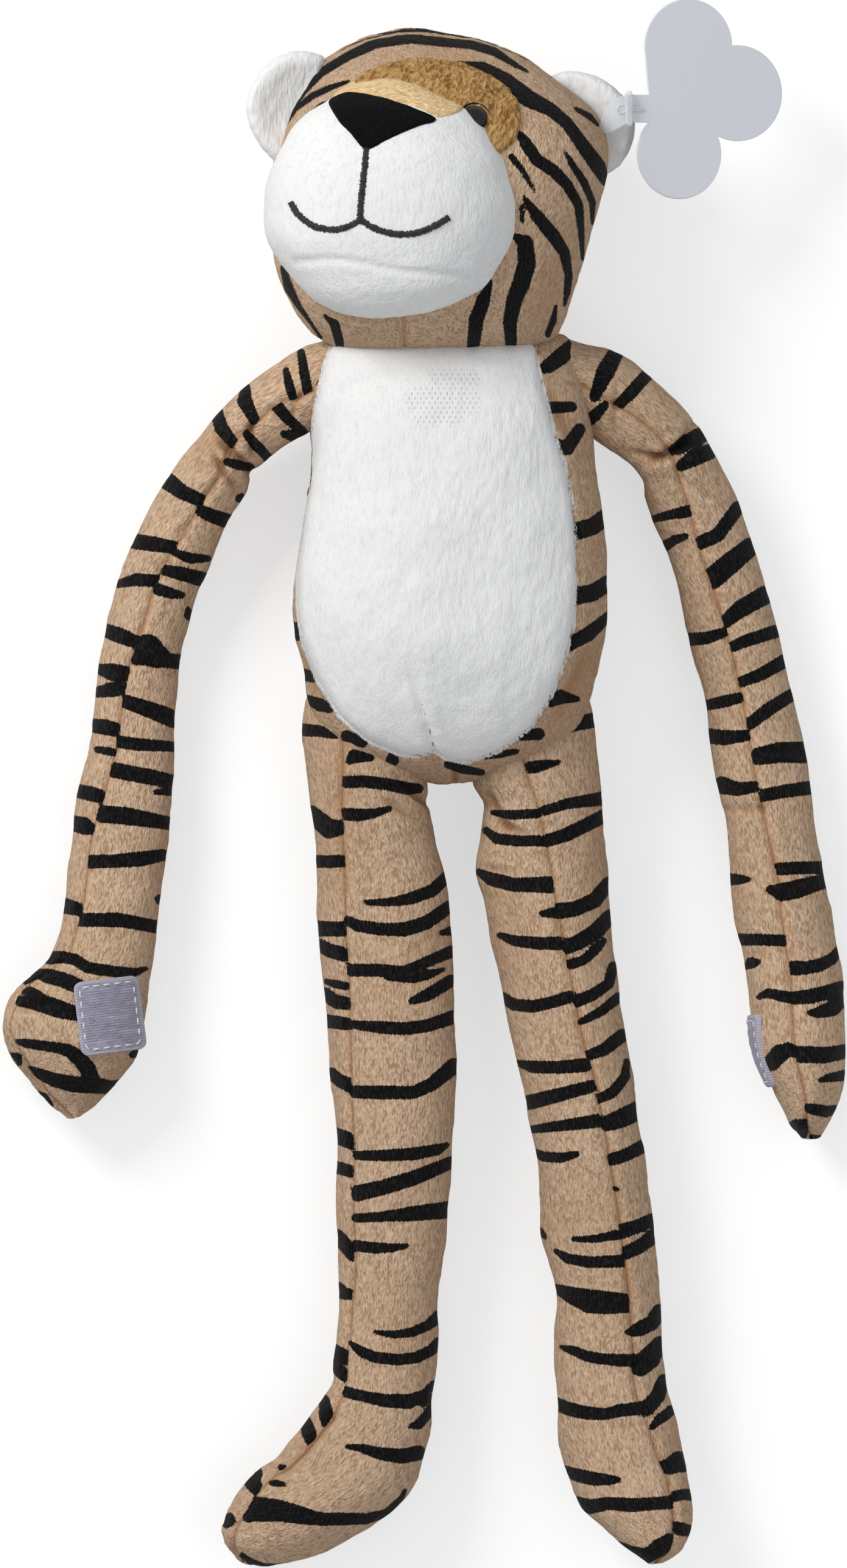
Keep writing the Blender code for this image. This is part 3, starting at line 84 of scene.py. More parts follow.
ARM_LEFT_STRIPES: Strokes = (
    (-48.1, 70.2, 1, -46.9, 62.5, 1.4, -45.6, 56.1, 1.3), (-53, 64.1, 0.8, -52, 59.3, 1.3, -50.7, 55.1, 1.1),
    (-66.4, 58.7, 1.3, -66.6, 54.2, 2.2, -63.5, 48.1, 1.5), (-76, 51, 1.8, -74.3, 45.3, 2, -70.1, 40.2, 1.5),
    (-55.8, 52.3, 1.8, -52.6, 48.5, 1.5, -47.5, 44, 1.3), (-50.7, 42.8, 1.8, -53.9, 43.4, 0.8), (-66.6, 44, 1,
    -62.8, 39.6, 1.5, -59, 35.7, 1.3), (-72.4, 34.2, 1, -68.6, 33.2, 1.4, -64.7, 32.5, 1), (-92.2, 28.1, 2.6,
    -87.1, 24.3, 2.2, -80.7, 21.4, 1.8), (-82.6, 18.9, 1.5, -77.5, 16.6, 2, -71.7, 14.7, 2.2), (-68.6, 22.3,
    1, -67.7, 23, 0.8), (-103, 8.3, 2.3, -96.6, 7.3, 2.2, -89.6, 6.1, 1.9), (-89.6, 4.5, 1, -84.5, 2.6, 1.5,
    -78.8, 2.6, 0.8), (-92.8, -1.3, 1.5, -87.1, -2.5, 2, -80, -4.4, 2.2), (-108.1, -5.7, 1.1, -102.4, -4.4,
    1.8, -95.3, -4.8, 1.8), (-95.3, -7.6, 1.7, -90.9, -8.9, 1.5, -87.4, -9.5, 0.9), (-85.5, -14, 0.6, -85,
    -15.9, 1.5), (-112.6, -21, 2, -107.5, -22.9, 2.3, -101.7, -25.2, 1.8), (-102.1, -29.6, 2.6, -98.8, -27.7,
    5.1, -95.3, -29.6, 3.6, -92.2, -31, 2.2, -88.1, -31.4, 2.2), (-114.5, -33.8, 1.5, -110.6, -34.7, 2.6,
    -105.2, -35.4, 2.2), (-115.4, -41.4, 1.5, -110, -40.5, 2.2, -105.2, -39.8, 1.8), (-105.5, -44.6, 2, -99.8,
    -46.5, 2.3, -94.7, -48.4, 2.6, -89.9, -50.4, 2.6), (-117, -52.3, 2, -112.6, -52.9, 2.3, -108.1, -53.9, 2),
    (-107.5, -57.8, 1.8, -101.1, -58.7, 1.8, -90.2, -59.3, 1.4), (-115.4, -60.2, 0.8, -111.9, -60.8, 1.1,
    -108.1, -61.5, 0.9), (-110, -66.9, 2.3, -103.6, -68.2, 2.3, -96.6, -69.5, 2.3, -90.2, -70.8, 1.8), (-96,
    -74.3, 0.6, -90.2, -74, 1.3), (-121.1, -74, 2, -117, -74.9, 2.2, -112.8, -75.9, 1.8), (-113.6, -81.4, 2.6,
    -104.9, -82.2, 2.6, -91.9, -84.5, 1.9), (-122.8, -84.5, 2.3, -119.6, -85.4, 2.6, -115.8, -87, 1.3),
    (-117.4, -97.2, 2, -108.7, -96.9, 1.9, -101.1, -96.3, 2.2, -93.7, -95, 1.7), (-95, -109.3, 1.1, -94.7,
    -110.3, 0.9), (-125.6, -111.8, 2.3, -120.2, -113.1, 1.8), (-121.5, -116.3, 2, -115.4, -116.3, 2, -108.2,
    -116.3, 2.1, -102.1, -117.3, 1.9, -96, -118.6, 1.9), (-131.2, -128.8, 1.9, -126.6, -128.5, 1.7, -122.5,
    -129.3, 1.6, -118.4, -131.9, 1.6, -112.3, -132.9, 1.6, -107.2, -133.6, 1.6, -103.1, -133.6, 1.2, -99,
    -132.3, 0.4), (-138.8, -136.7, 0.7, -134.8, -133.9, 1.3, -131.7, -134.7, 2.1, -126.6, -135.9, 2.2, -121.5,
    -138, 2.2, -120, -139, 1.9), (-139.9, -139.5, 1, -136.8, -140, 1.4, -133.7, -142.6, 2.1), (-141.9, -142.8,
    1.4, -136.8, -143.6, 1.7, -132.2, -144.1, 2.7, -127.6, -145.6, 2.7, -122, -147.2, 2.1), (-141.4, -156.3,
    0.6, -138.3, -156.9, 1.3, -133.7, -157.6, 1.4, -127.6, -158.4, 1.5, -124, -159.4, 1.9, -121, -162, 2.3,
    -118.4, -165, 2.4, -116.9, -169.1, 2.4), (-137.3, -165, 0.5, -133.7, -167.1, 1.6, -128.6, -169.1, 2.1,
    -122.5, -170.4, 2.4, -116.4, -170.6, 2.5, -111.3, -171.4, 2.1, -108.2, -170.1, 0.9), (-143.4, -160.7, 0.5,
    -141.4, -161.4, 1.2, -140.9, -163.5, 0.7), (-135.8, -173.2, 0.8, -132.7, -175.2, 1.6, -130.7, -177.5,
    0.9), (-100.8, -153.3, 0.4, -101.6, -155.6, 1.1, -102.1, -156.3, 0.7), (-103.6, -160.7, 0.9, -101.8,
    -159.9, 1.1),
)
ARM_RIGHT_STRIPES: Strokes = (
    (55, 69.5, 2.3, 51.8, 63.8, 2.8, 48.2, 55.5, 1.5), (65.2, 62.5, 1.8, 60.1, 56.8, 1.8, 55.6, 52.3, 1.5),
    (44.1, 45.3, 1, 48, 49.1, 1.8, 51.8, 53, 1), (73.5, 37.6, 1.3, 78.6, 40.8, 2.3, 83.7, 43.4, 2.3), (76.7,
    32.9, 1.5, 81.1, 35.7, 2.6, 86, 37.6, 2.3), (67.7, 15.6, 0.9, 73.5, 17, 1.3, 79.6, 18.1, 1.8), (71.6, 6.7,
    1.5, 74.7, 8.7, 1.3, 78.3, 9.8, 0.8), (83, 7.7, 2, 88.8, 10.2, 2, 95.4, 19.2, 2), (86.9, -4.1, 3.3, 92.6,
    0.7, 3.3, 99.6, 6.4, 2.8), (90.3, -18.9, 1.8, 96.4, -14, 2.6, 104.3, -9.5, 2.8), (79.8, -24, 1.9, 84.9,
    -23.6, 1.8, 90.7, -21.9, 1.4), (92.6, -26.8, 1.5, 99, -24.2, 1.8, 107.9, -21.4, 1.9), (96.2, -38.2, 1.5,
    102.8, -35.7, 1.8, 110.7, -31.2, 2), (85.6, -45.6, 1.5, 91.3, -44.4, 1.7, 97.1, -43, 1.4), (99.6, -51.6,
    1.8, 105.4, -47.2, 2, 113.6, -42.1, 1.8), (86.2, -55.8, 2.2, 91.3, -56.4, 2.2, 99.6, -55.5, 1.5), (99.6,
    -63.8, 0.8, 102.2, -62.5, 2.6, 109.2, -61.2, 3.1, 117.1, -61.2, 3.3), (90.3, -72, 2.6, 95.2, -73.3, 2,
    102.2, -72.4, 1.5), (103.1, -75.5, 1.8, 110.5, -74, 1.9, 118.8, -72.9, 2), (107.7, -99.7, 1.8, 114.3,
    -99.2, 1.8, 123.2, -99.1, 1.8), (106.6, -106.5, 1.3, 114.3, -105.5, 2, 124.7, -103.3, 2), (92.9, -103,
    1.8, 96.4, -103, 1.3, 99.2, -103, 0.5), (105.6, -106.2, 0.8, 109.8, -107.8, 2.1, 114.9, -106.9, 2.1, 120,
    -105.3, 1.8, 124.8, -104, 1.6), (96.4, -122.8, 1.7, 102.1, -122.8, 1.6, 108.5, -123, 1.6, 111.4, -123.1,
    1.7), (112.2, -132.1, 2.2, 117.4, -132.1, 1.9, 122.5, -131.1, 1.9, 126.4, -129.2, 1.6, 128.9, -126, 1.1),
    (98.3, -131.7, 0.8, 99.9, -130.5, 1.7, 102.1, -130.1, 0.7), (102.4, -141.6, 0.7, 105.3, -140.3, 1.3,
    109.8, -141.3, 1.6, 113, -141.9, 1.7), (113, -141.9, 1.8, 118.1, -141.6, 2.1, 123.8, -140.3, 2.1, 129.9,
    -138.7, 2.1), (118.7, -146.7, 0.6, 121.9, -146.7, 1.6, 126.4, -145.4, 2.3, 129.5, -142.3, 2.4), (106.3,
    -163.3, 2.4, 109.1, -160.1, 2.7, 111.7, -158.8, 2.1, 114.2, -159.5, 1.8), (114.2, -160.4, 2.5, 118.7,
    -160.4, 2.5, 123.8, -160.7, 2.4, 130.8, -159.5, 2.1), (122.2, -169, 0.4, 125.1, -168.1, 1.1, 130.5,
    -167.4, 1.6), (117.7, -178, 1.2, 121.3, -178.6, 1.6, 124.4, -179.2, 1.7, 128.4, -178.6, 1.2), (114.9,
    -184.3, 2.4, 117.4, -183.7, 1.8, 116.8, -186.9, 1.2), (120, -188.2, 1, 121.9, -188.2, 1),
)
LEG_LEFT_STRIPES: Strokes = (
    (-47.6, -53.8, 1.8, -42.5, -54.2, 1.7, -36.6, -55.6, 0.9), (-44.4, -80.4, 1.5, -41.6, -84.1, 2.8, -38.9,
    -86.4, 2.9, -34.7, -85.9, 2.2), (-43.2, -97.1, 1.8, -38.9, -97.1, 1.8, -34.3, -96.9, 1.8), (-42.7, -119.2,
    2.4, -38.9, -119.2, 2.2, -33.8, -119.4, 2.2), (-42.3, -124.5, 1.8, -38.9, -126.3, 2, -33.8, -127.7, 2.2),
    (-39.8, -136.6, 0.7, -36.6, -137.5, 1.1, -33.2, -138.1, 1.1), (-40.2, -140.6, 1.8, -36.6, -143.3, 2,
    -32.2, -143.8, 1.8), (-39.3, -149.7, 2, -32.4, -150.5, 1.8), (-32.4, -64.3, 0.9, -30.6, -62.5, 2, -25.1,
    -63, 0.9), (-33.8, -71, 1.7, -26.9, -70.8, 1.7, -19.6, -71.7, 1.7, -13.1, -73.1, 1.8, -9.5, -73.1, 1.3),
    (-34.3, -81.5, 1.8, -29.7, -81.8, 1.8, -24.2, -81.3, 1.3, -19.1, -79.7, 0.7), (-26.9, -110.5, 0.6, -19.6,
    -110.5, 1.1, -12.2, -109.3, 1.7, -4.9, -106.6, 1.8, -0.5, -102.4, 1.7), (-33.3, -116.2, 1.1, -29.7,
    -118.1, 1.7, -21.4, -119.4, 1.8, -14.1, -119.4, 2, -6.7, -117.1, 2, 0.4, -112.1, 1.8), (-2.1, -120.6, 0.6,
    1.1, -119.9, 1.3), (-32.9, -132.8, 1.8, -23.2, -132.8, 1.8, -14.1, -133.2, 1.5, -6.7, -130, 1.5, 1.1,
    -126.8, 1.8), (-19.6, -134.1, 1.8, -11.3, -135.1, 1.7, -6.7, -134.4, 1.3, -1.2, -132.6, 0.4), (-11.8,
    -143, 0.9, -6.7, -141, 1.8, 1.1, -136.4, 1.8), (-31.5, -150.7, 1.1, -21.4, -151.6, 1.8, -14.1, -152, 1.8,
    -6.7, -151.1, 1.8, 1.6, -148.4, 2), (-38.2, -166.9, 1.8, -35.2, -169.4, 1.8, -30.9, -170.9, 2.4), (-36.7,
    -187.3, 2.4, -30.9, -189.3, 2.4), (-36.7, -197.7, 1.8, -30.9, -199.2, 1.8), (-36.2, -220.6, 2.2, -33.7,
    -223.1, 2.2, -30.9, -226.6, 2), (-30.2, -172.8, 1.8, -21.2, -173, 2, -11.3, -173, 1.8, -5.3, -170.4, 2,
    2.1, -164.4, 2.4), (-30.2, -193.7, 1.2, -21.2, -193.7, 1.6, -11.3, -193.2, 1.8, -3.3, -191.8, 1.6, -0.2,
    -190.3, 0.6), (-29.7, -206.2, 2.4, -21.2, -204.2, 2.2, -11.3, -201.2, 2.2, 1.1, -196.2, 1.8), (-30,
    -214.3, 1.2, -21.2, -213.8, 1.4, -11.3, -212.8, 2.2, 0.4, -211.7, 2.6), (-30.2, -223.4, 1.6, -24.2,
    -224.1, 1.6, -18.3, -224.1, 1.2, -12.8, -223.4, 0.4), (-36.1, -238.2, 2.5, -33.9, -239.2, 1.8, -31.8,
    -239.5, 1.5), (-23.8, -251.8, 0.4, -17.7, -252.6, 1, -11.4, -251.8, 1.3, -6.4, -249.6, 1.4, -3.1, -247.1,
    1.9), (-32, -255.3, 0.5, -28.5, -258.1, 1.4, -24.1, -260, 1.6, -16.5, -260.9, 1.6, -10.2, -260.2, 1.6,
    -5.1, -257.8, 1.6, -3.2, -255.3, 1.3), (-37, -258.5, 2.2, -34.8, -259.7, 2.2, -32.6, -260.4, 2.2), (-37,
    -262.9, 1.8, -35.1, -265.1, 1.9, -32.9, -266.6, 1.8), (-33.6, -271.4, 1.6, -27.2, -273, 1.6, -20.3,
    -274.3, 1.9, -12.7, -274.6, 2.2, -7.6, -272.4, 1.3, -4.8, -269.2, 1), (-8.3, -275.2, 1.1, -5.7, -273.6,
    1), (-40.5, -274.3, 1.4, -39.9, -278.7, 2.2, -39.9, -281.9, 1.4), (-46.5, -281.9, 1.8, -45.6, -285, 2.2,
    -44.6, -288.2, 1.5), (-12.4, -282.8, 0.5, -9.5, -282.2, 1.4, -6.7, -279.3, 1.3, -5.7, -276.8, 0.9),
    (-33.2, -289.3, 0.5, -28.5, -289.8, 1.1, -22.2, -291.7, 1.8, -15.2, -292.6, 2.2, -9.5, -291.7, 2.2),
    (-54.7, -296.4, 0.8, -53.8, -296.1, 0.6), (-58.2, -301.5, 0.4, -56.6, -301.4, 0.9, -53.8, -301.8, 0.5),
    (-62.7, -298.3, 1.6, -64.2, -301.5, 2.3, -62, -304, 1.9), (-65.2, -311.6, 2.5, -62, -310, 3.8, -55.7,
    -310.3, 3.3, -49.4, -311.6, 2.8, -41.8, -313.2, 1.9, -32.9, -313.2, 1.8, -26.6, -313.2, 1.6, -20.3,
    -311.6, 1.1, -15.2, -306.5, 0.6, -13.9, -304, 0.4), (-71.5, -312.9, 1.3, -72.8, -315.1, 1.1, -70.6,
    -314.1, 0.8), (-67.7, -325.2, 0.6, -64.6, -327.4, 0.9, -60.1, -328.7, 0.5, -49.4, -328.7, 0.4),
)
LEG_RIGHT_STRIPES: Strokes = (
    (30.9, -55.2, 1.5, 37.4, -52.9, 2, 47.9, -50.6, 2.2), (25.4, -66.6, 1.7, 30, -65.7, 1.7, 36.4, -64.4,
    0.6), (30, -80.9, 1.3, 39.2, -78.1, 1.5, 51.1, -76.3, 2), (31.9, -90.5, 1.8, 39.2, -88.2, 2, 52.1, -81.8,
    2), (35.5, -113.5, 2.4, 42, -112.6, 2.2, 48.4, -109.8, 2.2, 53, -104.3, 2), (37.4, -125.9, 2.2, 42.9,
    -123.6, 2.2, 48.4, -120.4, 2.4, 53.4, -115.3, 2.2), (38.7, -131.4, 1.5, 44.7, -129.5, 1.3, 49.3, -125.4,
    1.3, 51.6, -123.1, 0.6), (41.5, -143.3, 1.8, 47.5, -141, 1.7, 53, -137.3, 1.5, 54.4, -131.8, 1.5), (43.8,
    -149.7, 0.9, 50.2, -146.5, 1.3, 56.2, -141.9, 1.5), (14.9, -80.9, 0.6, 20.8, -81.8, 1.3, 29.6, -81.3,
    1.3), (12.6, -86.8, 0.9, 16.2, -89.6, 1.5, 22.7, -90.3, 1.5, 30.9, -90.3, 1.5), (10.3, -100.6, 0.9, 14.4,
    -102.9, 2, 21.8, -104.7, 2, 28.2, -104.7, 2.2, 34.2, -104.7, 2.6), (30.9, -114.2, 0.7, 35.5, -113.9, 1.7),
    (17, -121.3, 0.7, 21.8, -123.1, 1.5, 30, -124, 1.8, 36.9, -124, 2), (18.3, -141.9, 1.5, 21.8, -144.2, 1.7,
    28.2, -144.7, 1.8, 34.6, -143.3, 1.7, 40.1, -141.5, 1.8), (23, -163.4, 0.8, 28.5, -164.7, 1.8, 36.5,
    -164.7, 1.8, 45.4, -163.9, 2), (25.7, -176.3, 1.4, 27, -176.3, 2.2, 36.5, -173.8, 2, 47.4, -170.9, 1.8),
    (27.5, -185.3, 1, 34.5, -184.3, 1.4, 49.4, -182.3, 2), (27, -191.8, 0.6, 31.5, -194.2, 1.4, 37.5, -194.5,
    1.4, 42.4, -193.2, 0.8), (30.5, -218.6, 0.8, 32, -220.6, 0.6), (41.4, -221.3, 0.6, 48.4, -221.1, 1, 56.9,
    -219.6, 1.4), (35.5, -225.1, 0.5, 39.4, -227.6, 1.4, 46.4, -228.8, 1.6, 57.9, -228.4, 1.8), (36, -238,
    1.6, 43.4, -239, 1.4, 58.4, -240.5, 1.2), (45.9, -160.9, 1.4, 51.4, -158.9, 1.8, 57.4, -154.4, 2), (49.4,
    -175.3, 1.4, 54.4, -172.8, 1.6, 58.4, -167.9, 1.4, 58.9, -162.9, 0.8), (50.4, -183.8, 2, 56.4, -181.8,
    2.8, 63.3, -178.8, 3), (52.9, -195.4, 1.8, 58.4, -193.7, 1.8, 64.3, -190.8, 2), (53.9, -204.5, 0.6, 55.6,
    -204.9, 0.6), (57.4, -218.6, 2.2, 62.3, -217.1, 2, 67.3, -215.1, 2), (58.9, -225.6, 2, 63.3, -223.6, 2,
    68.3, -220.1, 2.2), (35.8, -237.9, 0.9, 39.9, -240.4, 1.5, 46.2, -243, 2.3, 51.9, -243.3, 2.3, 55.7,
    -242.7, 2.7, 59.5, -242.3, 2.8), (34.5, -244.2, 0.8, 34.2, -242.7, 1), (58.8, -251.8, 0.5, 61.1, -251.5,
    1.6, 63.3, -250.6, 2.2, 67.1, -249, 2.2, 69.6, -245.2, 2.2), (37.3, -256.9, 0.4, 41.1, -257.8, 1.3, 45.6,
    -259.7, 1.5, 51.9, -260.7, 1.6, 57, -261, 1.8, 60.1, -261, 1.8), (61.1, -261.6, 2.5, 63.3, -262.9, 3.2,
    66.4, -260.4, 3.4, 69.6, -255.9, 2.3), (35.6, -275.5, 1.9, 39.9, -277.1, 2, 45.6, -278.4, 1.9, 51.9,
    -278.7, 1.6, 57, -277.4, 1.8, 62.6, -276.8, 1.9), (63.3, -277.4, 2.5, 65.8, -276.5, 2.3, 69, -273, 2.2,
    70.9, -268, 1.9), (66.8, -283.4, 0.6, 69.6, -280.6, 1.4, 73.4, -277.8, 1.5), (39.2, -297.7, 1.6, 43,
    -298.9, 1.9, 48.1, -299.9, 2, 53.2, -300.2, 1.4, 56, -300.1, 0.8), (70.2, -296.1, 1.6, 72.8, -295.8, 2.5,
    75.9, -294.5, 3.2, 77.5, -295.8, 1.9), (43, -308.4, 2.2, 46.8, -309.1, 2.2, 53.2, -307.8, 1.8, 60.7,
    -308.4, 2, 68.3, -307.9, 1.8, 74, -307.5, 1.9), (74.7, -305.6, 1.5, 77.8, -305, 1.5, 80.4, -305.6, 1.4),
    (74, -315.4, 1.5, 76.6, -316.3, 2, 79.4, -317, 1.6), (56.3, -321.1, 0.5, 60.7, -323.6, 1.5, 65.8, -324.9,
    2.2, 69.6, -322.3, 2.8, 72.8, -319.8, 2),
)
HEAD_STRIPES: Strokes = (
    (-36, 171, 0.8, -25.1, 177, 1.2, -15.9, 179.6, 1.2, -6.7, 179.4, 1.3, 2.5, 178.6, 1.4, 9.8, 176.6, 1.3,
    17.2, 173.2, 1.2, 25.4, 168.4, 0.9), (-56.3, 136.4, 0.7, -52.6, 147.4, 1.1, -47.1, 155.7, 1.3, -41.6,
    161.7, 1.7, -32.4, 167.2, 1.7, -23.2, 171.5, 2, -12.2, 173, 2, -2.1, 171.8, 1.8, 8, 170.8, 1.7, 15.3,
    168.6, 1.7, 21.8, 164.4, 1.1, 26.3, 161.9, 0.6), (-54.5, 142.8, 0.6, -49.9, 149.7, 1, -44.4, 153.9, 1.3,
    -38.9, 156.4, 1.2, -32.4, 158.6, 0.7), (2.5, 164.7, 0.7, 11.7, 163, 2.2, 19, 158.4, 3.1, 26.3, 152.9, 3.1,
    33.7, 149.3, 2.4, 39.2, 144.7, 2.2, 43.8, 138.2, 2.4, 49.3, 130.9, 2.8, 51.6, 126.3, 1.7), (23.6, 141,
    1.3, 25.4, 138.2, 2.2, 29.1, 132.7, 2.2, 34.6, 129.1, 2.2, 39.2, 124.5, 2, 42.9, 118, 1.7, 43.8, 109.8,
    1.3, 44.3, 100.6, 0.7), (38.3, 135.5, 0.7, 41, 130.9, 1.3, 44.7, 125.4, 1.5, 47.5, 119, 1.3, 47.5, 112.5,
    0.7), (20.8, 133.7, 1.3, 24.5, 129.1, 1.1, 27.7, 123.6, 0.9, 28.6, 121.7, 0.5), (25, 120.3, 0.9, 29.1,
    114.4, 2.2, 34.6, 107.9, 2.4, 38.3, 102.4, 2, 39.7, 95.1, 1.5, 39.2, 89.6, 1.3, 38.3, 85.4, 0.6), (22.2,
    107.5, 1.3, 25.4, 105.2, 2.9, 25.9, 98.8, 3.1, 24.1, 92.3, 3.1, 21.8, 86.8, 2.8, 20.4, 79.5, 2.4, 20.8,
    72.6, 2), (13.9, 92.8, 0.9, 11.7, 86.8, 2.4, 9.4, 80.4, 2.6, 8.4, 72.1, 2.2), (-40.2, 81.8, 0.7, -37, 79,
    1.7, -35.6, 74, 1.7, -34.7, 68.9, 1.1), (-54, 97.8, 1.1, -52.2, 91.4, 1.7, -49, 85.4, 1.1, -44.4, 79, 0.7,
    -41.6, 74.9, 0.7), (42, 149.7, 0.9, 46.5, 147.4, 1.3, 49.3, 144.7, 0.9), (35.5, 85, 0.7, 34.6, 80.4, 1.3,
    32.8, 75.8, 1.1), (24.1, 117.1, 0.9, 24.5, 112.5, 0.9),
)
TORSO_STRIPES: Strokes = (
    (30.9, 64.4, 1.2, 33, 65.5, 2.1, 37.1, 68.6, 2.5, 40.8, 72.2, 2.1), (32, 51.8, 1.4, 34, 51.8, 1.7, 40.8,
    52.2, 1.4), (34.6, 40.7, 1.4, 35.6, 39.6, 1.7, 39.2, 38.6, 2.1, 43.3, 44.8, 1.7), (39.7, 10.7, 2.7, 41.8,
    11.2, 2.7, 47.5, 12.8, 2.5, 51.6, 15.9, 2.5), (40.2, -10.5, 2.7, 42.3, -9.9, 2.7, 47.5, -8.9, 2.5, 53.2,
    -5.3, 2.3), (38.7, -26.5, 1.9, 40.8, -25.4, 1.9, 46.4, -22.3, 2.1, 53.2, -16.1, 1.2), (-50.7, -19.8, 1.4,
    -48.6, -22.3, 2.1), (-48.6, -35.3, 1.9, -44, -36.6, 1.4), (-46, -43.8, 1.2, -41.9, -45.6, 1.9, -38.8,
    -46.9, 1.2), (-33.1, -55.9, 1.7, -27.9, -58, 1.4), (-18.1, -63.7, 1.9, -17.8, -62.1, 1.4), (0, -65.2, 1,
    5.1, -66.8, 1.2, 11.3, -67.8, 0.8), (12.3, -62.4, 0.8, 17.5, -61.8, 1, 22.7, -60.9, 0.6), (23.7, -55.9,
    1.2, 29.9, -55.2, 1.7), (33.5, -44.5, 1.7, 37.1, -43, 2.1, 42.8, -43.8, 0.6), (-46.5, 28.3, 1.4, -45,
    29.3, 1), (-45.5, 36.5, 1, -44.5, 37.6, 0.8), (-44, 65, 0.8, -41.9, 61.3, 1.9, -39.3, 59.5, 1), (-42.9,
    54.1, 1.4, -41.4, 53.6, 1),
)
# Ribs: both edges of a limb in plan and the share of its width where the seam runs.
ARM_LEFT_RIBS: Numbers = (
    -37.4, 74.8, -29, 58, 0.62, -47, 71.6, -36.6, 51.6, 0.6, -56.6, 66, -41.4, 46, 0.52, -65.4, 60, -45, 44,
    0.46, -71.4, 55, -52, 40, 0.48, -76.8, 49.8, -59, 35, 0.49, -82.6, 42.4, -63.8, 30.4, 0.53, -87.8, 36,
    -66.2, 23.6, 0.56, -92.2, 30, -70.4, 17.8, 0.58, -98, 19.6, -75.6, 7.6, 0.55, -103, 9, -79.4, -1, 0.51,
    -106, 1, -83.2, -9.6, 0.48, -108.8, -7.6, -85.6, -20, 0.46, -112, -20, -88, -29, 0.44, -114.4, -31.8, -89,
    -38, 0.38, -117, -51, -89.6, -52.2, 0.34, -118.6, -62, -89.8, -63, 0.32, -120.8, -71.4, -90.4, -71, 0.3,
    -123.4, -89.2, -91.8, -85.4, 0.21, -125, -102, -93.4, -99, 0.21, -126.2, -112, -95, -110, 0.2, -127.4,
    -120, -96.2, -119.8, 0.18, -131.6, -130.4, -97, -130, 0.14, -136.8, -135, -98.2, -136, 0.1, -142.4,
    -139.4, -99, -144, 0.07, -145.8, -146, -99.6, -151, 0.06, -146.4, -154, -100.6, -157.4, 0.07, -143.8,
    -161.6, -102.6, -163, 0.1, -139, -168, -107, -168.6, 0.12, -134.2, -174, -111.8, -174, 0.15, -129, -178.6,
    -117, -178.8, 0.18, -125.4, -181, -120.4, -181, 0.2,
)
ARM_RIGHT_RIBS: Numbers = (
    34, 77, 29, 58, 0.6, 43, 73.4, 36, 54, 0.58, 53, 70.8, 42, 48, 0.56, 60, 67.6, 48, 42, 0.53, 65.8, 62.6,
    53, 38.4, 0.5, 75, 54.6, 59, 34, 0.49, 82.4, 46, 63.6, 29, 0.5, 89, 35, 65, 23, 0.53, 95.2, 21.8, 68.4,
    14, 0.57, 99.4, 9, 72.6, 3.6, 0.62, 103, -3, 75.6, -6, 0.6, 106, -14, 77.8, -16, 0.57, 110.4, -28, 80.6,
    -29, 0.56, 114.2, -43.4, 84.6, -43.4, 0.58, 116.6, -57, 86.6, -57, 0.57, 118.8, -70.2, 88.8, -71, 0.57,
    120.6, -82, 91, -81, 0.56, 122, -91.8, 91.6, -91, 0.52, 124.2, -103, 93, -102, 0.5, 126.2, -114, 94.6,
    -114, 0.52, 128.2, -125.2, 97, -125.2, 0.54, 129.8, -132, 98.2, -134, 0.54, 130.6, -142, 99.2, -144,
    0.555, 131, -154, 100.6, -155, 0.565, 130.8, -164, 102.6, -163, 0.56, 130, -172, 107.4, -172, 0.58, 127.8,
    -178.4, 111, -179.6, 0.6, 125, -183.6, 113.8, -184.6, 0.62, 122.6, -187.4, 116.6, -187.4, 0.6,
)
LEG_LEFT_RIBS: Numbers = (
    -43, -38, -10, -41, 0.36, -46.4, -45, -8.2, -50, 0.36, -47.6, -53.8, -7.4, -60, 0.34, -46.6, -64, -7, -71,
    0.32, -45.4, -74, -6.4, -79, 0.28, -43.4, -86, -4.6, -89, 0.235, -43, -102, -1, -103, 0.22, -42.6, -118,
    0.6, -118, 0.21, -41, -134, 1.8, -134, 0.195, -39.4, -150.2, 2, -150.2, 0.18, -38.6, -166.8, 2.6, -166,
    0.165, -37.4, -180, 1.8, -180, 0.15, -36.6, -191.8, 1.4, -191.8, 0.15, -37, -206, 1, -206, 0.15, -36.6,
    -220, 0, -220, 0.15, -36.2, -231.6, -1.4, -231.6, 0.15, -36, -241, -2.6, -241, 0.13, -36.4, -252, -2.8,
    -254, 0.12, -37, -262, -3.8, -267, 0.12, -37.4, -268.4, -5.4, -276, 0.12, -40.6, -273.6, -6, -284, 0.15,
    -45, -279, -8.2, -292, 0.16, -51, -286, -11, -301, 0.15, -57, -293, -16, -309, 0.13, -62, -296.4, -23,
    -314.6, 0.12, -67, -302, -31, -320, 0.13, -70.4, -308, -39, -324, 0.15, -73, -314, -48, -327, 0.15, -73.8,
    -319, -56, -328.6, 0.2, -72, -323, -61, -329, 0.25, -69.4, -325.6, -64.2, -328.4, 0.3,
)
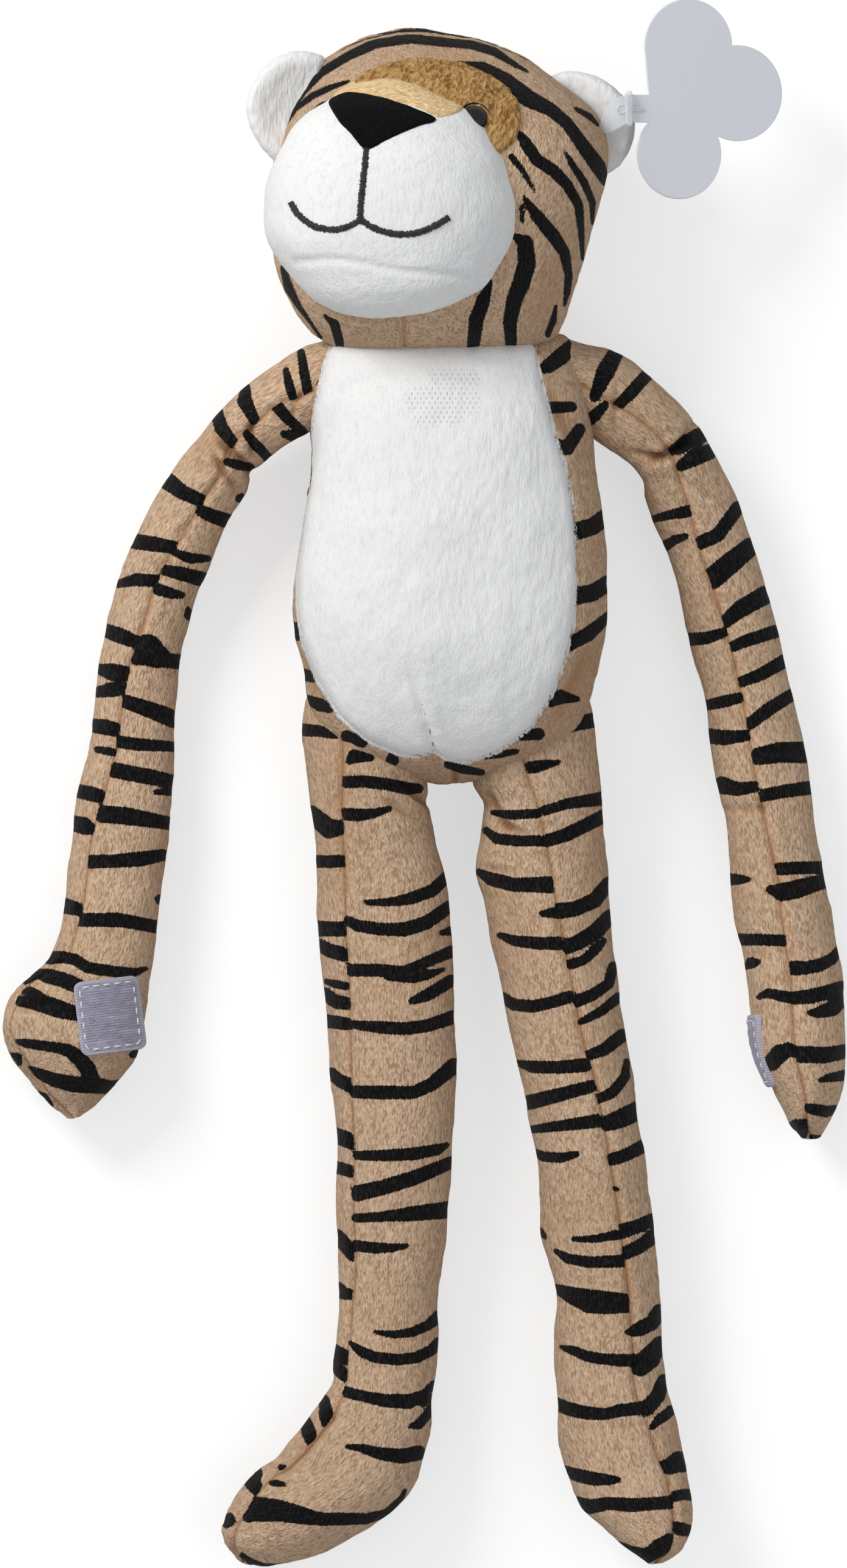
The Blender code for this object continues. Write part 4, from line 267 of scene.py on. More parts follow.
LEG_RIGHT_RIBS: Numbers = (
    11, -42, 44, -37, 0.38, 9.4, -53, 47.4, -46, 0.39, 8.6, -63, 48.4, -54, 0.4, 9, -72, 50, -66, 0.43, 12.2,
    -78, 51.2, -76, 0.44, 11.6, -88, 52, -87, 0.495, 9.6, -99, 53, -98, 0.55, 12.6, -109.8, 53, -109, 0.56,
    15, -124, 54.2, -123, 0.585, 18, -141, 56.6, -139, 0.6, 21, -156, 58.6, -153, 0.61, 24.2, -170, 61.4,
    -167, 0.635, 27, -184, 63, -181, 0.655, 29.4, -196.8, 65.4, -194, 0.655, 30.2, -208, 66.6, -206, 0.68,
    30.6, -219, 68, -217, 0.695, 33.4, -230, 69, -228, 0.69, 35.4, -239.6, 69.2, -238, 0.7, 34.8, -250, 69.8,
    -248, 0.715, 34.8, -261.6, 70.2, -260, 0.73, 35.6, -274.2, 71.8, -271, 0.715, 36.6, -286, 74.6, -281,
    0.755, 38.6, -294, 76.6, -291, 0.79, 41, -302, 79, -300, 0.82, 44.6, -309.6, 80.6, -308, 0.81, 50, -315.2,
    80.2, -315, 0.8, 55.4, -320, 78.6, -320.4, 0.78, 61, -324.2, 75.4, -324.8, 0.75, 65.4, -327, 71, -327,
    0.7,
)


class Shade:
    """One shader socket, with arithmetic that adds its own Math nodes."""

    def __init__(self, tree: bpy.types.NodeTree, socket: bpy.types.NodeSocket) -> None:
        """Wrap a socket of a tree."""
        self.tree = tree
        self.socket = socket

    def _math(self, operation: str, *values: Value) -> "Shade":
        """Result of a Math node's operation on some values."""
        return Recipe.node(self.tree, "ShaderNodeMath", {"operation": operation}, dict(enumerate(values)))

    def __add__(self, other: Value) -> "Shade":
        """Sum."""
        return self._math("ADD", self, other)

    def __radd__(self, other: Value) -> "Shade":
        """Sum, reflected."""
        return self._math("ADD", other, self)

    def __sub__(self, other: Value) -> "Shade":
        """Difference."""
        return self._math("SUBTRACT", self, other)

    def __rsub__(self, other: Value) -> "Shade":
        """Difference, reflected."""
        return self._math("SUBTRACT", other, self)

    def __mul__(self, other: Value) -> "Shade":
        """Product."""
        return self._math("MULTIPLY", self, other)

    def __rmul__(self, other: Value) -> "Shade":
        """Product, reflected."""
        return self._math("MULTIPLY", other, self)

    def sine(self) -> "Shade":
        """Sine of the value."""
        return self._math("SINE", self)

    def clamped(self, low: float, high: float) -> "Shade":
        """Value carried smoothly from low and high to 0 and 1, and held there."""
        values = {"Value": self, "From Min": low, "From Max": high}
        return Recipe.node(self.tree, "ShaderNodeMapRange", {"interpolation_type": "SMOOTHSTEP"}, values)


class Dye(Enum):
    """Colours of the toy's fabrics and threads, as linear values, and the painted shade of creases."""

    TAN = (0.6, 0.415, 0.275)
    TAN_SHADE = (0.37, 0.228, 0.136)
    TAN_LIGHT = (0.7, 0.52, 0.36)
    # Painted shade, deepest in creases.
    DEEP = (0.2, 0.1, 0.05)
    # Warm tone of the pile, and in creases partly painted shade.
    WARM = (0.47, 0.262, 0.142)
    STRIPE = (0.005, 0.0045, 0.0045)
    STRIPE_LIGHT = (0.022, 0.02, 0.02)
    WHITE = (0.8, 0.8, 0.795)
    WHITE_SHADE = (0.735, 0.733, 0.73)
    MASK = (0.4, 0.225, 0.08)
    MASK_SHADE = (0.2, 0.095, 0.028)
    MASK_LIGHT = (0.56, 0.355, 0.15)
    BRIDGE = (0.8, 0.57, 0.3)
    BRIDGE_SHADE = (0.6, 0.38, 0.17)
    BRIDGE_LIGHT = (0.9, 0.72, 0.47)
    NOSE = (0.002, 0.002, 0.0022)
    NOSE_LIGHT = (0.008, 0.008, 0.0085)
    THREAD = (0.011, 0.011, 0.013)
    THREAD_LIGHT = (0.06, 0.06, 0.066)
    PAD = (0.38, 0.36, 0.45)
    PAD_SHADE = (0.22, 0.205, 0.28)
    PAD_LIGHT = (0.56, 0.545, 0.62)
    PAD_THREAD = (0.77, 0.75, 0.72)
    CARD = (0.665, 0.69, 0.73)
    CARD_EDGE = (0.72, 0.745, 0.785)
    CLEAR = (0.84, 0.87, 0.9)
    EYE = (0.006, 0.006, 0.007)


class Recipe:
    """A material in the making: its nodes, and the sockets of its shader."""

    def __init__(
        self, name: str, sheen: float = 0.0, tint: Place = (1.0, 1.0, 1.0), gloss: float = 0.2,
        solid: bool = False,
    ) -> None:
        """Start a material.

        Args:
            name: The material's name.
            sheen: Weight of the sheen.
            tint: Colour of the sheen.
            gloss: Specular level.
            solid: Whether its grain is read in space, and not along a cloth.
        """
        self.made = bpy.data.materials.new(name)
        self.made.use_nodes = True
        self.tree = self.made.node_tree
        self.inputs = self.tree.nodes["Principled BSDF"].inputs
        constants = {"Sheen Weight": sheen, "Sheen Roughness": 0.45, "Sheen Tint": (*tint, 1.0),
                     "Specular IOR Level": gloss}
        for socket, value in constants.items():
            self.inputs[socket].default_value = value
        if solid:
            self.place = self.add("ShaderNodeTexCoord", {}, {}, "Object")
        else:
            self.place = self.mark("cloth", "Vector")

    @staticmethod
    def node(
        tree: bpy.types.NodeTree, kind: str, settings: dict, inputs: dict, output: Union[int, str] = 0
    ) -> Shade:
        """Add any node to a tree.

        Args:
            tree: Tree that takes it.
            kind: The node's type.
            settings: Its own settings, which are set first.
            inputs: Values or links of its sockets, by name or number.
            output: The output that is returned.

        Returns:
            The output, wrapped.
        """
        made = tree.nodes.new(kind)
        for name, value in settings.items():
            setattr(made, name, value)
        for name, value in inputs.items():
            socket = made.inputs[name]
            if isinstance(value, Shade):
                tree.links.new(value.socket, socket)
                continue
            if isinstance(value, Dye):
                value = value.value
            socket.default_value = (*value, 1.0) if socket.type == "RGBA" else value
        return Shade(tree, made.outputs[output])

    def add(self, kind: str, settings: dict, inputs: dict, output: Union[int, str] = 0) -> Shade:
        """Add any node to this material, as node does."""
        return self.node(self.tree, kind, settings, inputs, output)

    def mixed(self, share: Shade, first: Value, second: Value) -> Shade:
        """Colour between two, the first at a share of 0 and the second at 1."""
        return self.add("ShaderNodeMix", {"data_type": "RGBA"}, {0: share, 6: first, 7: second}, 2)

    def mark(self, name: str, output: str = "Fac") -> Shade:
        """What the mesh carries under a name."""
        return self.add("ShaderNodeAttribute", {"attribute_name": name}, {}, output)

    def axis(self, number: int) -> Shade:
        """Place across the cloth for 0, or along it for 1."""
        return self.add("ShaderNodeSeparateXYZ", {}, {0: self.place}, number)

    def grain(self, across: float, along: float, detail: float = 2.0) -> Shade:
        """Noise stretched along the cloth.

        Args:
            across: Grains per metre across the lie of the cloth.
            along: Grains per metre along it.
            detail: Octaves of the noise.

        Returns:
            The noise, about 0 to 1.
        """
        scale = (across, along, across)
        spread = self.add("ShaderNodeVectorMath", {"operation": "MULTIPLY"}, {0: self.place, 1: scale})
        return self.add("ShaderNodeTexNoise", {}, {"Vector": spread, "Scale": 1.0, "Detail": detail}, "Fac")

    def finished(self, colour: Shade, roughness: Shade, height: Shade, depth: float) -> Material:
        """Feed the shader what changes over the surface.

        Args:
            colour: Its colour.
            roughness: Its roughness.
            height: Height of its relief, about 0 to 1.
            depth: Height in metres that 1 stands for.

        Returns:
            The finished material.
        """
        normal = self.add("ShaderNodeBump", {}, {"Strength": 1.0, "Distance": depth, "Height": height})
        for socket, value in (("Base Color", colour), ("Roughness", roughness), ("Normal", normal)):
            self.tree.links.new(value.socket, self.inputs[socket])
        return self.made


@dataclass(frozen=True)
class PileFinish:
    """Short pile: clumps that lie along the fabric, valleys between them and a soft sheen.

    The mesh carries the place in the cloth, across and along the lie, and where it is
    striped, the distance to the nearest stripe's edge.
    """

    name: str
    base: Dye
    shade: Dye
    light: Dye
    striped: bool = False
    trimmed: bool = False
    worn: bool = False
    stripe_reach: float = 0.35 * MM
    warmth: float = 0.0
    clump_across: float = 0.52 * MM
    clump_along: float = 1.8 * MM
    depth: float = 0.5 * MM
    contrast: float = 0.7
    sheen: float = 0.04
    knit: tuple[float, float] = (1.9 * MM, 3.1 * MM)

    def make(self) -> Material:
        """Build the material.

        Returns:
            The finished material.
        """
        mix = Recipe(self.name, self.sheen, (1.0, 0.95, 0.9), 0.06)
        across, along = 1.0 / self.clump_across, 1.0 / self.clump_along
        wander = mix.grain(120.0, 120.0, 1.0)
        clumps = mix.grain(across, along, 1.5)
        hairs = mix.grain(across * 2.6, along * 1.5)
        tufts = mix.grain(across * 0.38, along * 0.55, 1.0)
        valleys = clumps.clamped(0.34, 0.66)
        height = valleys * 0.6 + hairs * 0.3 + tufts.clamped(0.3, 0.7) * 0.4
        tone = valleys * 0.46 + hairs * 0.2 + tufts.clamped(0.34, 0.66) * 0.24 + wander * 0.1
        colour = mix.mixed(tone.clamped(0.12, 0.52), self.shade, self.base)
        colour = mix.mixed(tone.clamped(0.5, 0.86) * self.contrast, colour, self.light)
        # Random warm patches of the pile's own tone; in creases a warm brown that is partly opened pile and
        # partly painted shade.
        if self.warmth > 0.0:
            crease = mix.mark("crease")
            warm = mix.grain(26.0, 17.0, 1.0).clamped(0.46, 0.74) * self.warmth + crease * 0.85
            colour = mix.mixed(warm.clamped(0.0, 1.0), colour, Dye.WARM)
            # Deepest in the creases, painted shade of dark brown.
            colour = mix.mixed(crease.clamped(0.45, 1.0) * (1.1 - hairs), colour, Dye.DEEP)
        if self.striped:
            ragged = mix.mark("stripe") + (hairs - 0.5) * (0.9 * MM) + (clumps - 0.5) * (0.6 * MM)
            ink = 1.0 - ragged.clamped(self.stripe_reach - 0.15 * MM, self.stripe_reach + 0.15 * MM)
            shine = (hairs * 0.6 + valleys * 0.4).clamped(0.45, 0.85)
            colour = mix.mixed(ink, colour, mix.mixed(shine, Dye.STRIPE, Dye.STRIPE_LIGHT))
        if self.trimmed:
            fringe = mix.mark("fringe") + (hairs - 0.5) * 0.7 + (clumps - 0.5) * 0.5
            colour = mix.mixed(fringe.clamped(0.42, 0.62), colour, Dye.WHITE)
        if self.worn:
            bare = mix.mark("worn") * (0.7 + 0.3 * wander)
            waves = [(mix.axis(number) * (FULL_TURN / self.knit[number])).sine() for number in (0, 1)]
            dots = (waves[0] * waves[1]).clamped(0.55, 0.9) * bare
            colour = mix.mixed(bare * 0.5, colour, Dye.WHITE_SHADE)
            colour = mix.mixed(dots * 0.8, colour, Dye.CARD)
            height = height + dots * 2.4
        return mix.finished(colour, 0.93 - 0.12 * hairs, height, self.depth)


@dataclass(frozen=True)
class ThreadFinish:
    """Glossy embroidery thread: fine strands across the line, with a broken sheen."""

    name: str
    dark: Dye
    light: Dye
    strand: float = 0.09 * MM

    def make(self) -> Material:
        """Build the material.

        Returns:
            The finished material.
        """
        mix = Recipe(self.name, 0.25)
        strands = mix.grain(900.0, 1.0 / self.strand, 1.5)
        shine = (strands * 0.7 + mix.grain(260.0, 380.0, 1.0) * 0.4).clamped(0.45, 0.85)
        colour = mix.mixed(shine, self.dark, self.light)
        return mix.finished(colour, 0.62 - 0.2 * strands, strands, 0.12 * MM)


@dataclass(frozen=True)
class TapeFinish:
    """Hook-and-loop tape: a ribbed woven edge round a fuzzy field of loops."""

    name: str
    rib: float = 0.85 * MM

    def make(self) -> Material:
        """Build the material.

        Returns:
            The finished material.
        """
        mix = Recipe(self.name, 0.4, (0.9, 0.9, 1.0))
        ribs = (mix.axis(1) * (FULL_TURN / self.rib)).sine() * 0.5 + 0.5
        loops = mix.grain(2400.0, 1300.0, 3.0)
        drift = mix.grain(260.0, 420.0)
        pulled = mix.grain(90.0, 700.0, 1.5).clamped(0.52, 0.78)
        colour = mix.mixed((loops * 0.65 + drift * 0.5).clamped(0.3, 0.85), Dye.PAD_SHADE, Dye.PAD)
        colour = mix.mixed(pulled * 0.55 + loops.clamped(0.55, 0.85) * 0.4, colour, Dye.PAD_LIGHT)
        colour = mix.mixed(mix.mark("crease") * 0.8, colour, mix.mixed(ribs, Dye.PAD, Dye.PAD_LIGHT))
        height = loops * 0.5 + ribs * 0.35 + drift * 0.3
        return mix.finished(colour, 0.9 - 0.15 * loops, height, 0.45 * MM)


@dataclass(frozen=True)
class CardFinish:
    """Smooth grey card: faint fibres, a soft satin surface and paler scuffs."""

    name: str

    def make(self) -> Material:
        """Build the material.

        Returns:
            The finished material.
        """
        mix = Recipe(self.name)
        fibres = mix.grain(1500.0, 420.0, 3.0)
        cloud = (mix.grain(55.0, 38.0) * 0.6 + fibres * 0.4).clamped(0.3, 0.75)
        colour = mix.mixed(cloud, Dye.CARD, Dye.CARD_EDGE)
        colour = mix.mixed((fibres * 0.35).clamped(0.0, 1.0), colour, Dye.CARD)
        return mix.finished(colour, 0.42 + 0.2 * fibres, fibres, 0.03 * MM)


@dataclass(frozen=True)
class ClearFinish:
    """Clear moulded plastic: nearly colourless, glossy, with faint flow marks."""

    name: str

    def make(self) -> Material:
        """Build the material.

        Returns:
            The finished material.
        """
        mix = Recipe(self.name, gloss=0.5, solid=True)
        flow = mix.grain(260.0, 90.0)
        edge = mix.add("ShaderNodeLayerWeight", {}, {"Blend": 0.35}, "Facing")
        alpha = 0.42 + 0.4 * edge + 0.12 * flow
        mix.tree.links.new(alpha.socket, mix.inputs["Alpha"])
        colour = mix.mixed(flow, Dye.CLEAR, Dye.CARD_EDGE)
        return mix.finished(colour, 0.14 + 0.16 * flow, flow, 0.05 * MM)


@dataclass(frozen=True)
class EyeFinish:
    """Glossy black eye with a stitched rim and faint scuffs."""

    name: str

    def make(self) -> Material:
        """Build the material.

        Returns:
            The finished material.
        """
        mix = Recipe(self.name, gloss=0.22)
        scuffs = mix.grain(900.0, 260.0, 3.0)
        colour = mix.mixed(scuffs.clamped(0.5, 0.9), Dye.EYE, Dye.NOSE_LIGHT)
        return mix.finished(colour, 0.2 + 0.22 * scuffs.clamped(0.45, 0.8), scuffs, 0.03 * MM)


def finishes_by_slot() -> Finishes:
    """Make every finish, by the record's material slots or by the fabric's own name.

    Returns:
        The materials.
    """
    tan = (Dye.TAN, Dye.TAN_SHADE, Dye.TAN_LIGHT)
    white = (Dye.WHITE, Dye.WHITE_SHADE, Dye.WHITE)
    made = {
        "striped_plush": PileFinish("striped_plush_pile", *tan, striped=True, warmth=0.34),
        "torso_plush": PileFinish("striped_torso_pile", *tan, striped=True, trimmed=True, warmth=0.34),
        "head_plush": PileFinish(
            "striped_head_pile", *tan, striped=True, warmth=0.4, stripe_reach=-0.1 * MM
        ),
        "belly_plush": PileFinish(
            "white_belly_pile", *white, worn=True, depth=0.11 * MM, contrast=0.4,
            clump_across=0.6 * MM, clump_along=2.6 * MM,
        ),
        "white_plush": PileFinish(
            "white_plush_pile", *white, depth=0.13 * MM, contrast=0.3, clump_across=0.9 * MM,
            clump_along=2.8 * MM,
        ),
        "mask_plush": PileFinish(
            "golden_curl_pile", Dye.MASK, Dye.MASK_SHADE, Dye.MASK_LIGHT, clump_across=1.2 * MM,
            clump_along=3.0 * MM, depth=0.9 * MM,
        ),
        "bridge_plush": PileFinish(
            "cream_pile", Dye.BRIDGE, Dye.BRIDGE_SHADE, Dye.BRIDGE_LIGHT, clump_along=2.2 * MM,
            depth=0.4 * MM,
        ),
        "nose_plush": PileFinish(
            "black_short_pile", Dye.NOSE, Dye.EYE, Dye.NOSE_LIGHT, clump_across=0.5 * MM,
            clump_along=0.8 * MM, depth=0.3 * MM, contrast=0.5, sheen=0.02,
        ),
        "thread": ThreadFinish("black_satin_thread", Dye.THREAD, Dye.THREAD_LIGHT),
        "thread_pale": ThreadFinish("pale_sewing_thread", Dye.PAD_THREAD, Dye.WHITE),
        "pad_tape": TapeFinish("closure_tape"),
        "card": CardFinish("grey_card"),
        "clear_plastic": ClearFinish("clear_plastic"),
        "eye_plastic": EyeFinish("black_eye"),
    }
    return {slot: finish.make() for slot, finish in made.items()}


def spline(knots: Array, values: Array, places: Array) -> Array:
    """Smooth curve through values.

    Args:
        knots: Rising places of the values.
        values: One row for each knot.
        places: Where the curve is read.

    Returns:
        One row for each place.
    """
    flat = values.reshape(len(knots), -1)
    slopes = np.gradient(flat, knots, axis=0)
    index = np.clip(np.searchsorted(knots, places) - 1, 0, len(knots) - 2)
    gap = (knots[index + 1] - knots[index])[:, None]
    share = (np.clip(places, knots[0], knots[-1]) - knots[index])[:, None] / gap
    square, cube = share**2, share**3
    found = (2 * cube - 3 * square + 1) * flat[index] + (3 * square - 2 * cube) * flat[index + 1]
    found += (cube - 2 * square + share) * gap * slopes[index]
    found += (cube - square) * gap * slopes[index + 1]
    return found.reshape((len(places),) + values.shape[1:])


def lumps(points: Array, scale: Union[float, tuple], seed: float) -> Array:
    """Smooth noise at points.

    Args:
        points: Places, in metres.
        scale: Size of a lump, in metres, or its size along each axis.
        seed: Shifts the noise, so that pieces differ.

    Returns:
        Values of about -1 to 1.
    """
    flat = points.reshape(-1, 3) / np.array(scale) + seed * 37.0
    cell = np.floor(flat).astype(np.int64)
    share = flat - cell
    share = share * share * (3.0 - 2.0 * share)
    found = np.zeros(len(flat))
    for corner in range(8):
        step = np.array((corner & 1, corner >> 1 & 1, corner >> 2))
        spot = cell + step
        mixed = spot[:, 0] * 73856093 ^ spot[:, 1] * 19349663 ^ spot[:, 2] * 83492791
        mixed = (mixed ^ mixed >> 13) * 1274126177 & 0xFFFFFFFF
        value = (mixed >> 8 & 0xFFFF) / 32767.5 - 1.0
        found += value * np.prod(np.where(step, share, 1.0 - share), axis=1)
    return found.reshape(points.shape[:-1])


def run_of(line: Array) -> Array:
    """Distance along a line at each of its points."""
    return np.concatenate(([0.0], np.cumsum(np.linalg.norm(np.diff(line, axis=0), axis=1))))


def turns(count: int) -> Array:
    """Angles of a full turn in equal steps."""
    return np.linspace(0.0, FULL_TURN, count + 1)[:-1]


def softened(values: Array, axis: int) -> Array:
    """Closed rows of values, each averaged with its neighbours."""
    return (np.roll(values, 1, axis=axis) + values * 2.0 + np.roll(values, -1, axis=axis)) / 4.0


def evenly(line: Array, count: int) -> Array:
    """Closed outline, read at evenly spaced points.

    Args:
        line: Its points.
        count: How many points it gets.

    Returns:
        The new points.
    """
    closed = np.concatenate((line, line[:1]))
    run = run_of(closed)
    places = np.linspace(0.0, run[-1], count + 1)[:-1]
    return np.stack([np.interp(places, run, closed[:, axis]) for axis in (0, 1)], axis=1)


def grown(line: Array, middle: Array, amount: float) -> Array:
    """Outline whose points are moved away from its middle by an amount."""
    reach = line - middle
    return middle + reach * (1.0 + amount / np.linalg.norm(reach, axis=1))[:, None]


def dome(inward: Array, reach: float) -> Array:
    """Rise from 0 at an edge to 1 at its reach inward, as a quarter circle."""
    rise = np.clip(inward / reach, 0.0, 1.0)
    return np.sqrt(np.clip(1.0 - (1.0 - rise) ** 2, 0.0, 1.0))


def on_ground(plan: Array) -> Array:
    """Places in plan, in millimetres, as points at height 0, in metres."""
    return np.concatenate((plan * MM, np.zeros(plan.shape[:-1] + (1,))), axis=-1)


def stroke_along(outline: Numbers, half_width: float) -> Array:
    """Stroke of one width along an outline."""
    line = np.reshape(outline, (-1, 2))
    return np.column_stack((line, np.full(len(line), half_width)))


def from_segment(plan: Array, first: Array, second: Array) -> tuple[Array, Array]:
    """Nearest share of the way along a segment for each place, and the distance to it."""
    ahead = second - first
    share = np.clip(((plan - first) @ ahead) / max(ahead @ ahead, TINY), 0.0, 1.0)
    return share, np.linalg.norm(plan - first - share[..., None] * ahead, axis=-1)


def seam_side(plan: Array, seam: Array) -> Array:
    """Signed distance from places in plan to a line.

    Args:
        plan: Places across and along.
        seam: Points of the line.

    Returns:
        Distances, above 0 on the line's left.
    """
    best = np.full(plan.shape[:-1], 1.0)
    signed = np.zeros(plan.shape[:-1])
    for first, second in zip(seam, seam[1:]):
        gap = from_segment(plan, first, second)[1]
        ahead = second - first
        cross = ahead[0] * (plan[..., 1] - first[1]) - ahead[1] * (plan[..., 0] - first[0])
        signed = np.where(gap < best, gap * np.sign(cross), signed)
        best = np.minimum(best, gap)
    return signed


def stroke_distance(points: Array, strokes: Strokes, seam: Optional[Array] = None) -> Array:
    """Distance in plan from points to the edge of the nearest stroke, below 0 inside one.

    Args:
        points: Places, in metres.
        strokes: Tapered strokes, in millimetres.
        seam: Line in plan that a stroke on one side of it doesn't cross.

    Returns:
        One distance for each point, in metres.
    """
    plan = points[..., :2]
    nearest = np.full(plan.shape[:-1], FAR)
    sides = seam_side(plan, seam) if seam is not None else None
    for stroke in strokes:
        knots = np.reshape(stroke, (-1, 3)) * MM
        distance = np.full(plan.shape[:-1], FAR)
        for first, second in zip(knots, knots[1:]):
            share, gap = from_segment(plan, first[:2], second[:2])
            distance = np.minimum(distance, gap - (first[2] + (second[2] - first[2]) * share))
        if sides is not None:
            ends = seam_side(knots[:, :2], seam)
            if ends.max() < SEAM_REACH or ends.min() > -SEAM_REACH:
                distance = np.maximum(distance, -sides if ends.mean() > 0.0 else sides)
        nearest = np.minimum(nearest, distance)
    return nearest


def quads(rows: int, columns: int, closed: bool = True, caps: Caps = (False, False)) -> list:
    """Faces of a grid of points.

    Args:
        rows: Its rows.
        columns: Points in a row.
        closed: Whether each row runs all round.
        caps: Whether the first and the last row are closed by a face.

    Returns:
        The corners of each face.
    """
    made = []
    for start in range(0, (rows - 1) * columns, columns):
        for column in range(columns if closed else columns - 1):
            after = start + (column + 1) % columns
            made.append((start + column, after, after + columns, start + column + columns))
    if caps[0]:
        made.append(tuple(range(columns))[::-1])
    if caps[1]:
        made.append(tuple(range((rows - 1) * columns, rows * columns)))
    return made


def shifted(faces: Sequence, start: int) -> list:
    """Faces whose points are counted from another number."""
    return [tuple(start + corner for corner in face) for face in faces]


def linked(name: str, points: Sequence, faces: list, finish: Material, outward: bool = True) -> Piece:
    """Make an object.

    Args:
        name: Its name.
        points: Its points, in metres.
        faces: Corners of its faces.
        finish: Its material.
        outward: Whether its faces are turned outward.

    Returns:
        The object.
    """
    mesh = bpy.data.meshes.new(name)
    mesh.from_pydata([tuple(point) for point in points], [], faces)
    if outward:
        shape = bmesh.new()
        shape.from_mesh(mesh)
        bmesh.ops.recalc_face_normals(shape, faces=shape.faces)
        shape.to_mesh(mesh)
        shape.free()
    mesh.materials.append(finish)
    made = bpy.data.objects.new(name, mesh)
    bpy.context.scene.collection.objects.link(made)
    return made


def hang(
    piece: Piece, body: str, nodes: tuple[str, ...] = ()
) -> Piece:
    """Hang a piece on a body.

    Args:
        piece: The piece.
        body: The body that it rides on.
        nodes: Solids that it stands for.

    Returns:
        The piece.
    """
    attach(piece, body)
    if nodes:
        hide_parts(*nodes)
    return piece


def joint_place(name: str) -> Place:
    """Where a joint turns, in metres."""
    return next(tuple(joint["pos_m"]) for joint in frame["joints"] if joint["name"] == name)


@dataclass
class Cloth:
    """A grid of points that becomes one fabric piece, with its place in the cloth."""

    points: Array
    place: Array
    closed: bool = True
    toward: Optional[Place] = None
    marks: dict[str, Array] = field(default_factory=dict)

    def normals(self) -> Array:
        """Outward direction at each point.

        Returns:
            Unit vectors in the grid's shape.
        """
        along = np.gradient(self.points, axis=0)
        if self.closed:
            across = (np.roll(self.points, -1, axis=1) - np.roll(self.points, 1, axis=1)) / 2.0
        else:
            across = np.gradient(self.points, axis=1)
        facing = np.cross(across, along)
        facing /= np.maximum(np.linalg.norm(facing, axis=-1, keepdims=True), TINY)
        away = self.points - self.points.mean(axis=1, keepdims=True)
        if self.toward is not None:
            away = np.array(self.toward)
        return -facing if np.sum(facing * away) < 0.0 else facing

    def push(self, amount: Array) -> None:
        """Move every point along its outward direction."""
        self.points = self.points + self.normals() * amount[..., None]

    def fluff(self, across: float, along: float, height: float, seed: float) -> None:
        """Raise the pile's clumps.

        Args:
            across: Width of a clump, in millimetres.
            along: Length of a clump, in millimetres.
            height: How far clumps rise and sink, in millimetres.
            seed: Shifts the pattern.
        """
        across, along = across * MM, along * MM
        fine = lumps(self.place, (across, along, across), seed)
        coarse = lumps(self.place, (across * 2.6, along * 1.7, across * 2.6), seed + 3.0)
        self.push((fine * 0.7 + coarse * 0.5) * (height * MM))

    def piece(
        self, name: str, finish: Material, first: int = 0, last: Optional[int] = None,
        caps: Caps = (True, False),
    ) -> Piece:
        """Make an object of some of the grid's rows, shaded as the whole grid.

        Args:
            name: The piece's name.
            finish: Its material.
            first: First row.
            last: Row after the last one.
            caps: Whether the first and the last row are closed.

        Returns:
            The object.
        """
        rows = slice(first, last)
        points = self.points[rows]
        faces = quads(len(points), points.shape[1], self.closed, caps)
        made = linked(name, points.reshape(-1, 3), faces, finish)
        made.data.shade_smooth()
        self.write(made, "cloth", self.place[rows])
        for label, values in self.marks.items():
            self.write(made, label, values[rows])
        if self.closed and self.toward is None:
            facing = self.normals()[rows].reshape(-1, 3)
            made.data.normals_split_custom_set_from_vertices([tuple(way) for way in facing])
        return made

    @staticmethod
    def write(piece: Piece, name: str, values: Array) -> None:
        """Store values on a piece's points, one number or one place for each."""
        kind, part = ("FLOAT_VECTOR", "vector") if name == "cloth" else ("FLOAT", "value")
        stored = piece.data.attributes.new(name, kind, "POINT")
        stored.data.foreach_set(part, values.astype(np.float32).ravel())


@dataclass
class Fold:
    """A crease or swelling: where it is in plan, its heading, its size and its depth.

    Places and sizes are in millimetres, and a depth below 0 swells.
    """

    across: float
    along: float
    heading: float
    half_length: float
    half_width: float
    depth: float

    def depth_at(self, points: Array, facing: Array) -> Array:
        """How far the fold moves points inward, in metres.

        Args:
            points: The cloth's points.
            facing: Their outward directions.

        Returns:
            One depth for each point.
        """
        turn = math.radians(self.heading)
        rel = points[..., :2] / MM - np.array((self.across, self.along))
        length = rel @ np.array((math.cos(turn), math.sin(turn)))
        width = rel @ np.array((-math.sin(turn), math.cos(turn)))
        bent = width - 0.03 * length**2 / max(self.half_length, 1.0)
        shape = np.exp(-((length / self.half_length) ** 4)) * np.exp(-((bent / self.half_width) ** 2))
        return shape * np.clip(facing[..., 2] * 2.0 + 0.6, 0.0, 1.0) * self.depth * MM


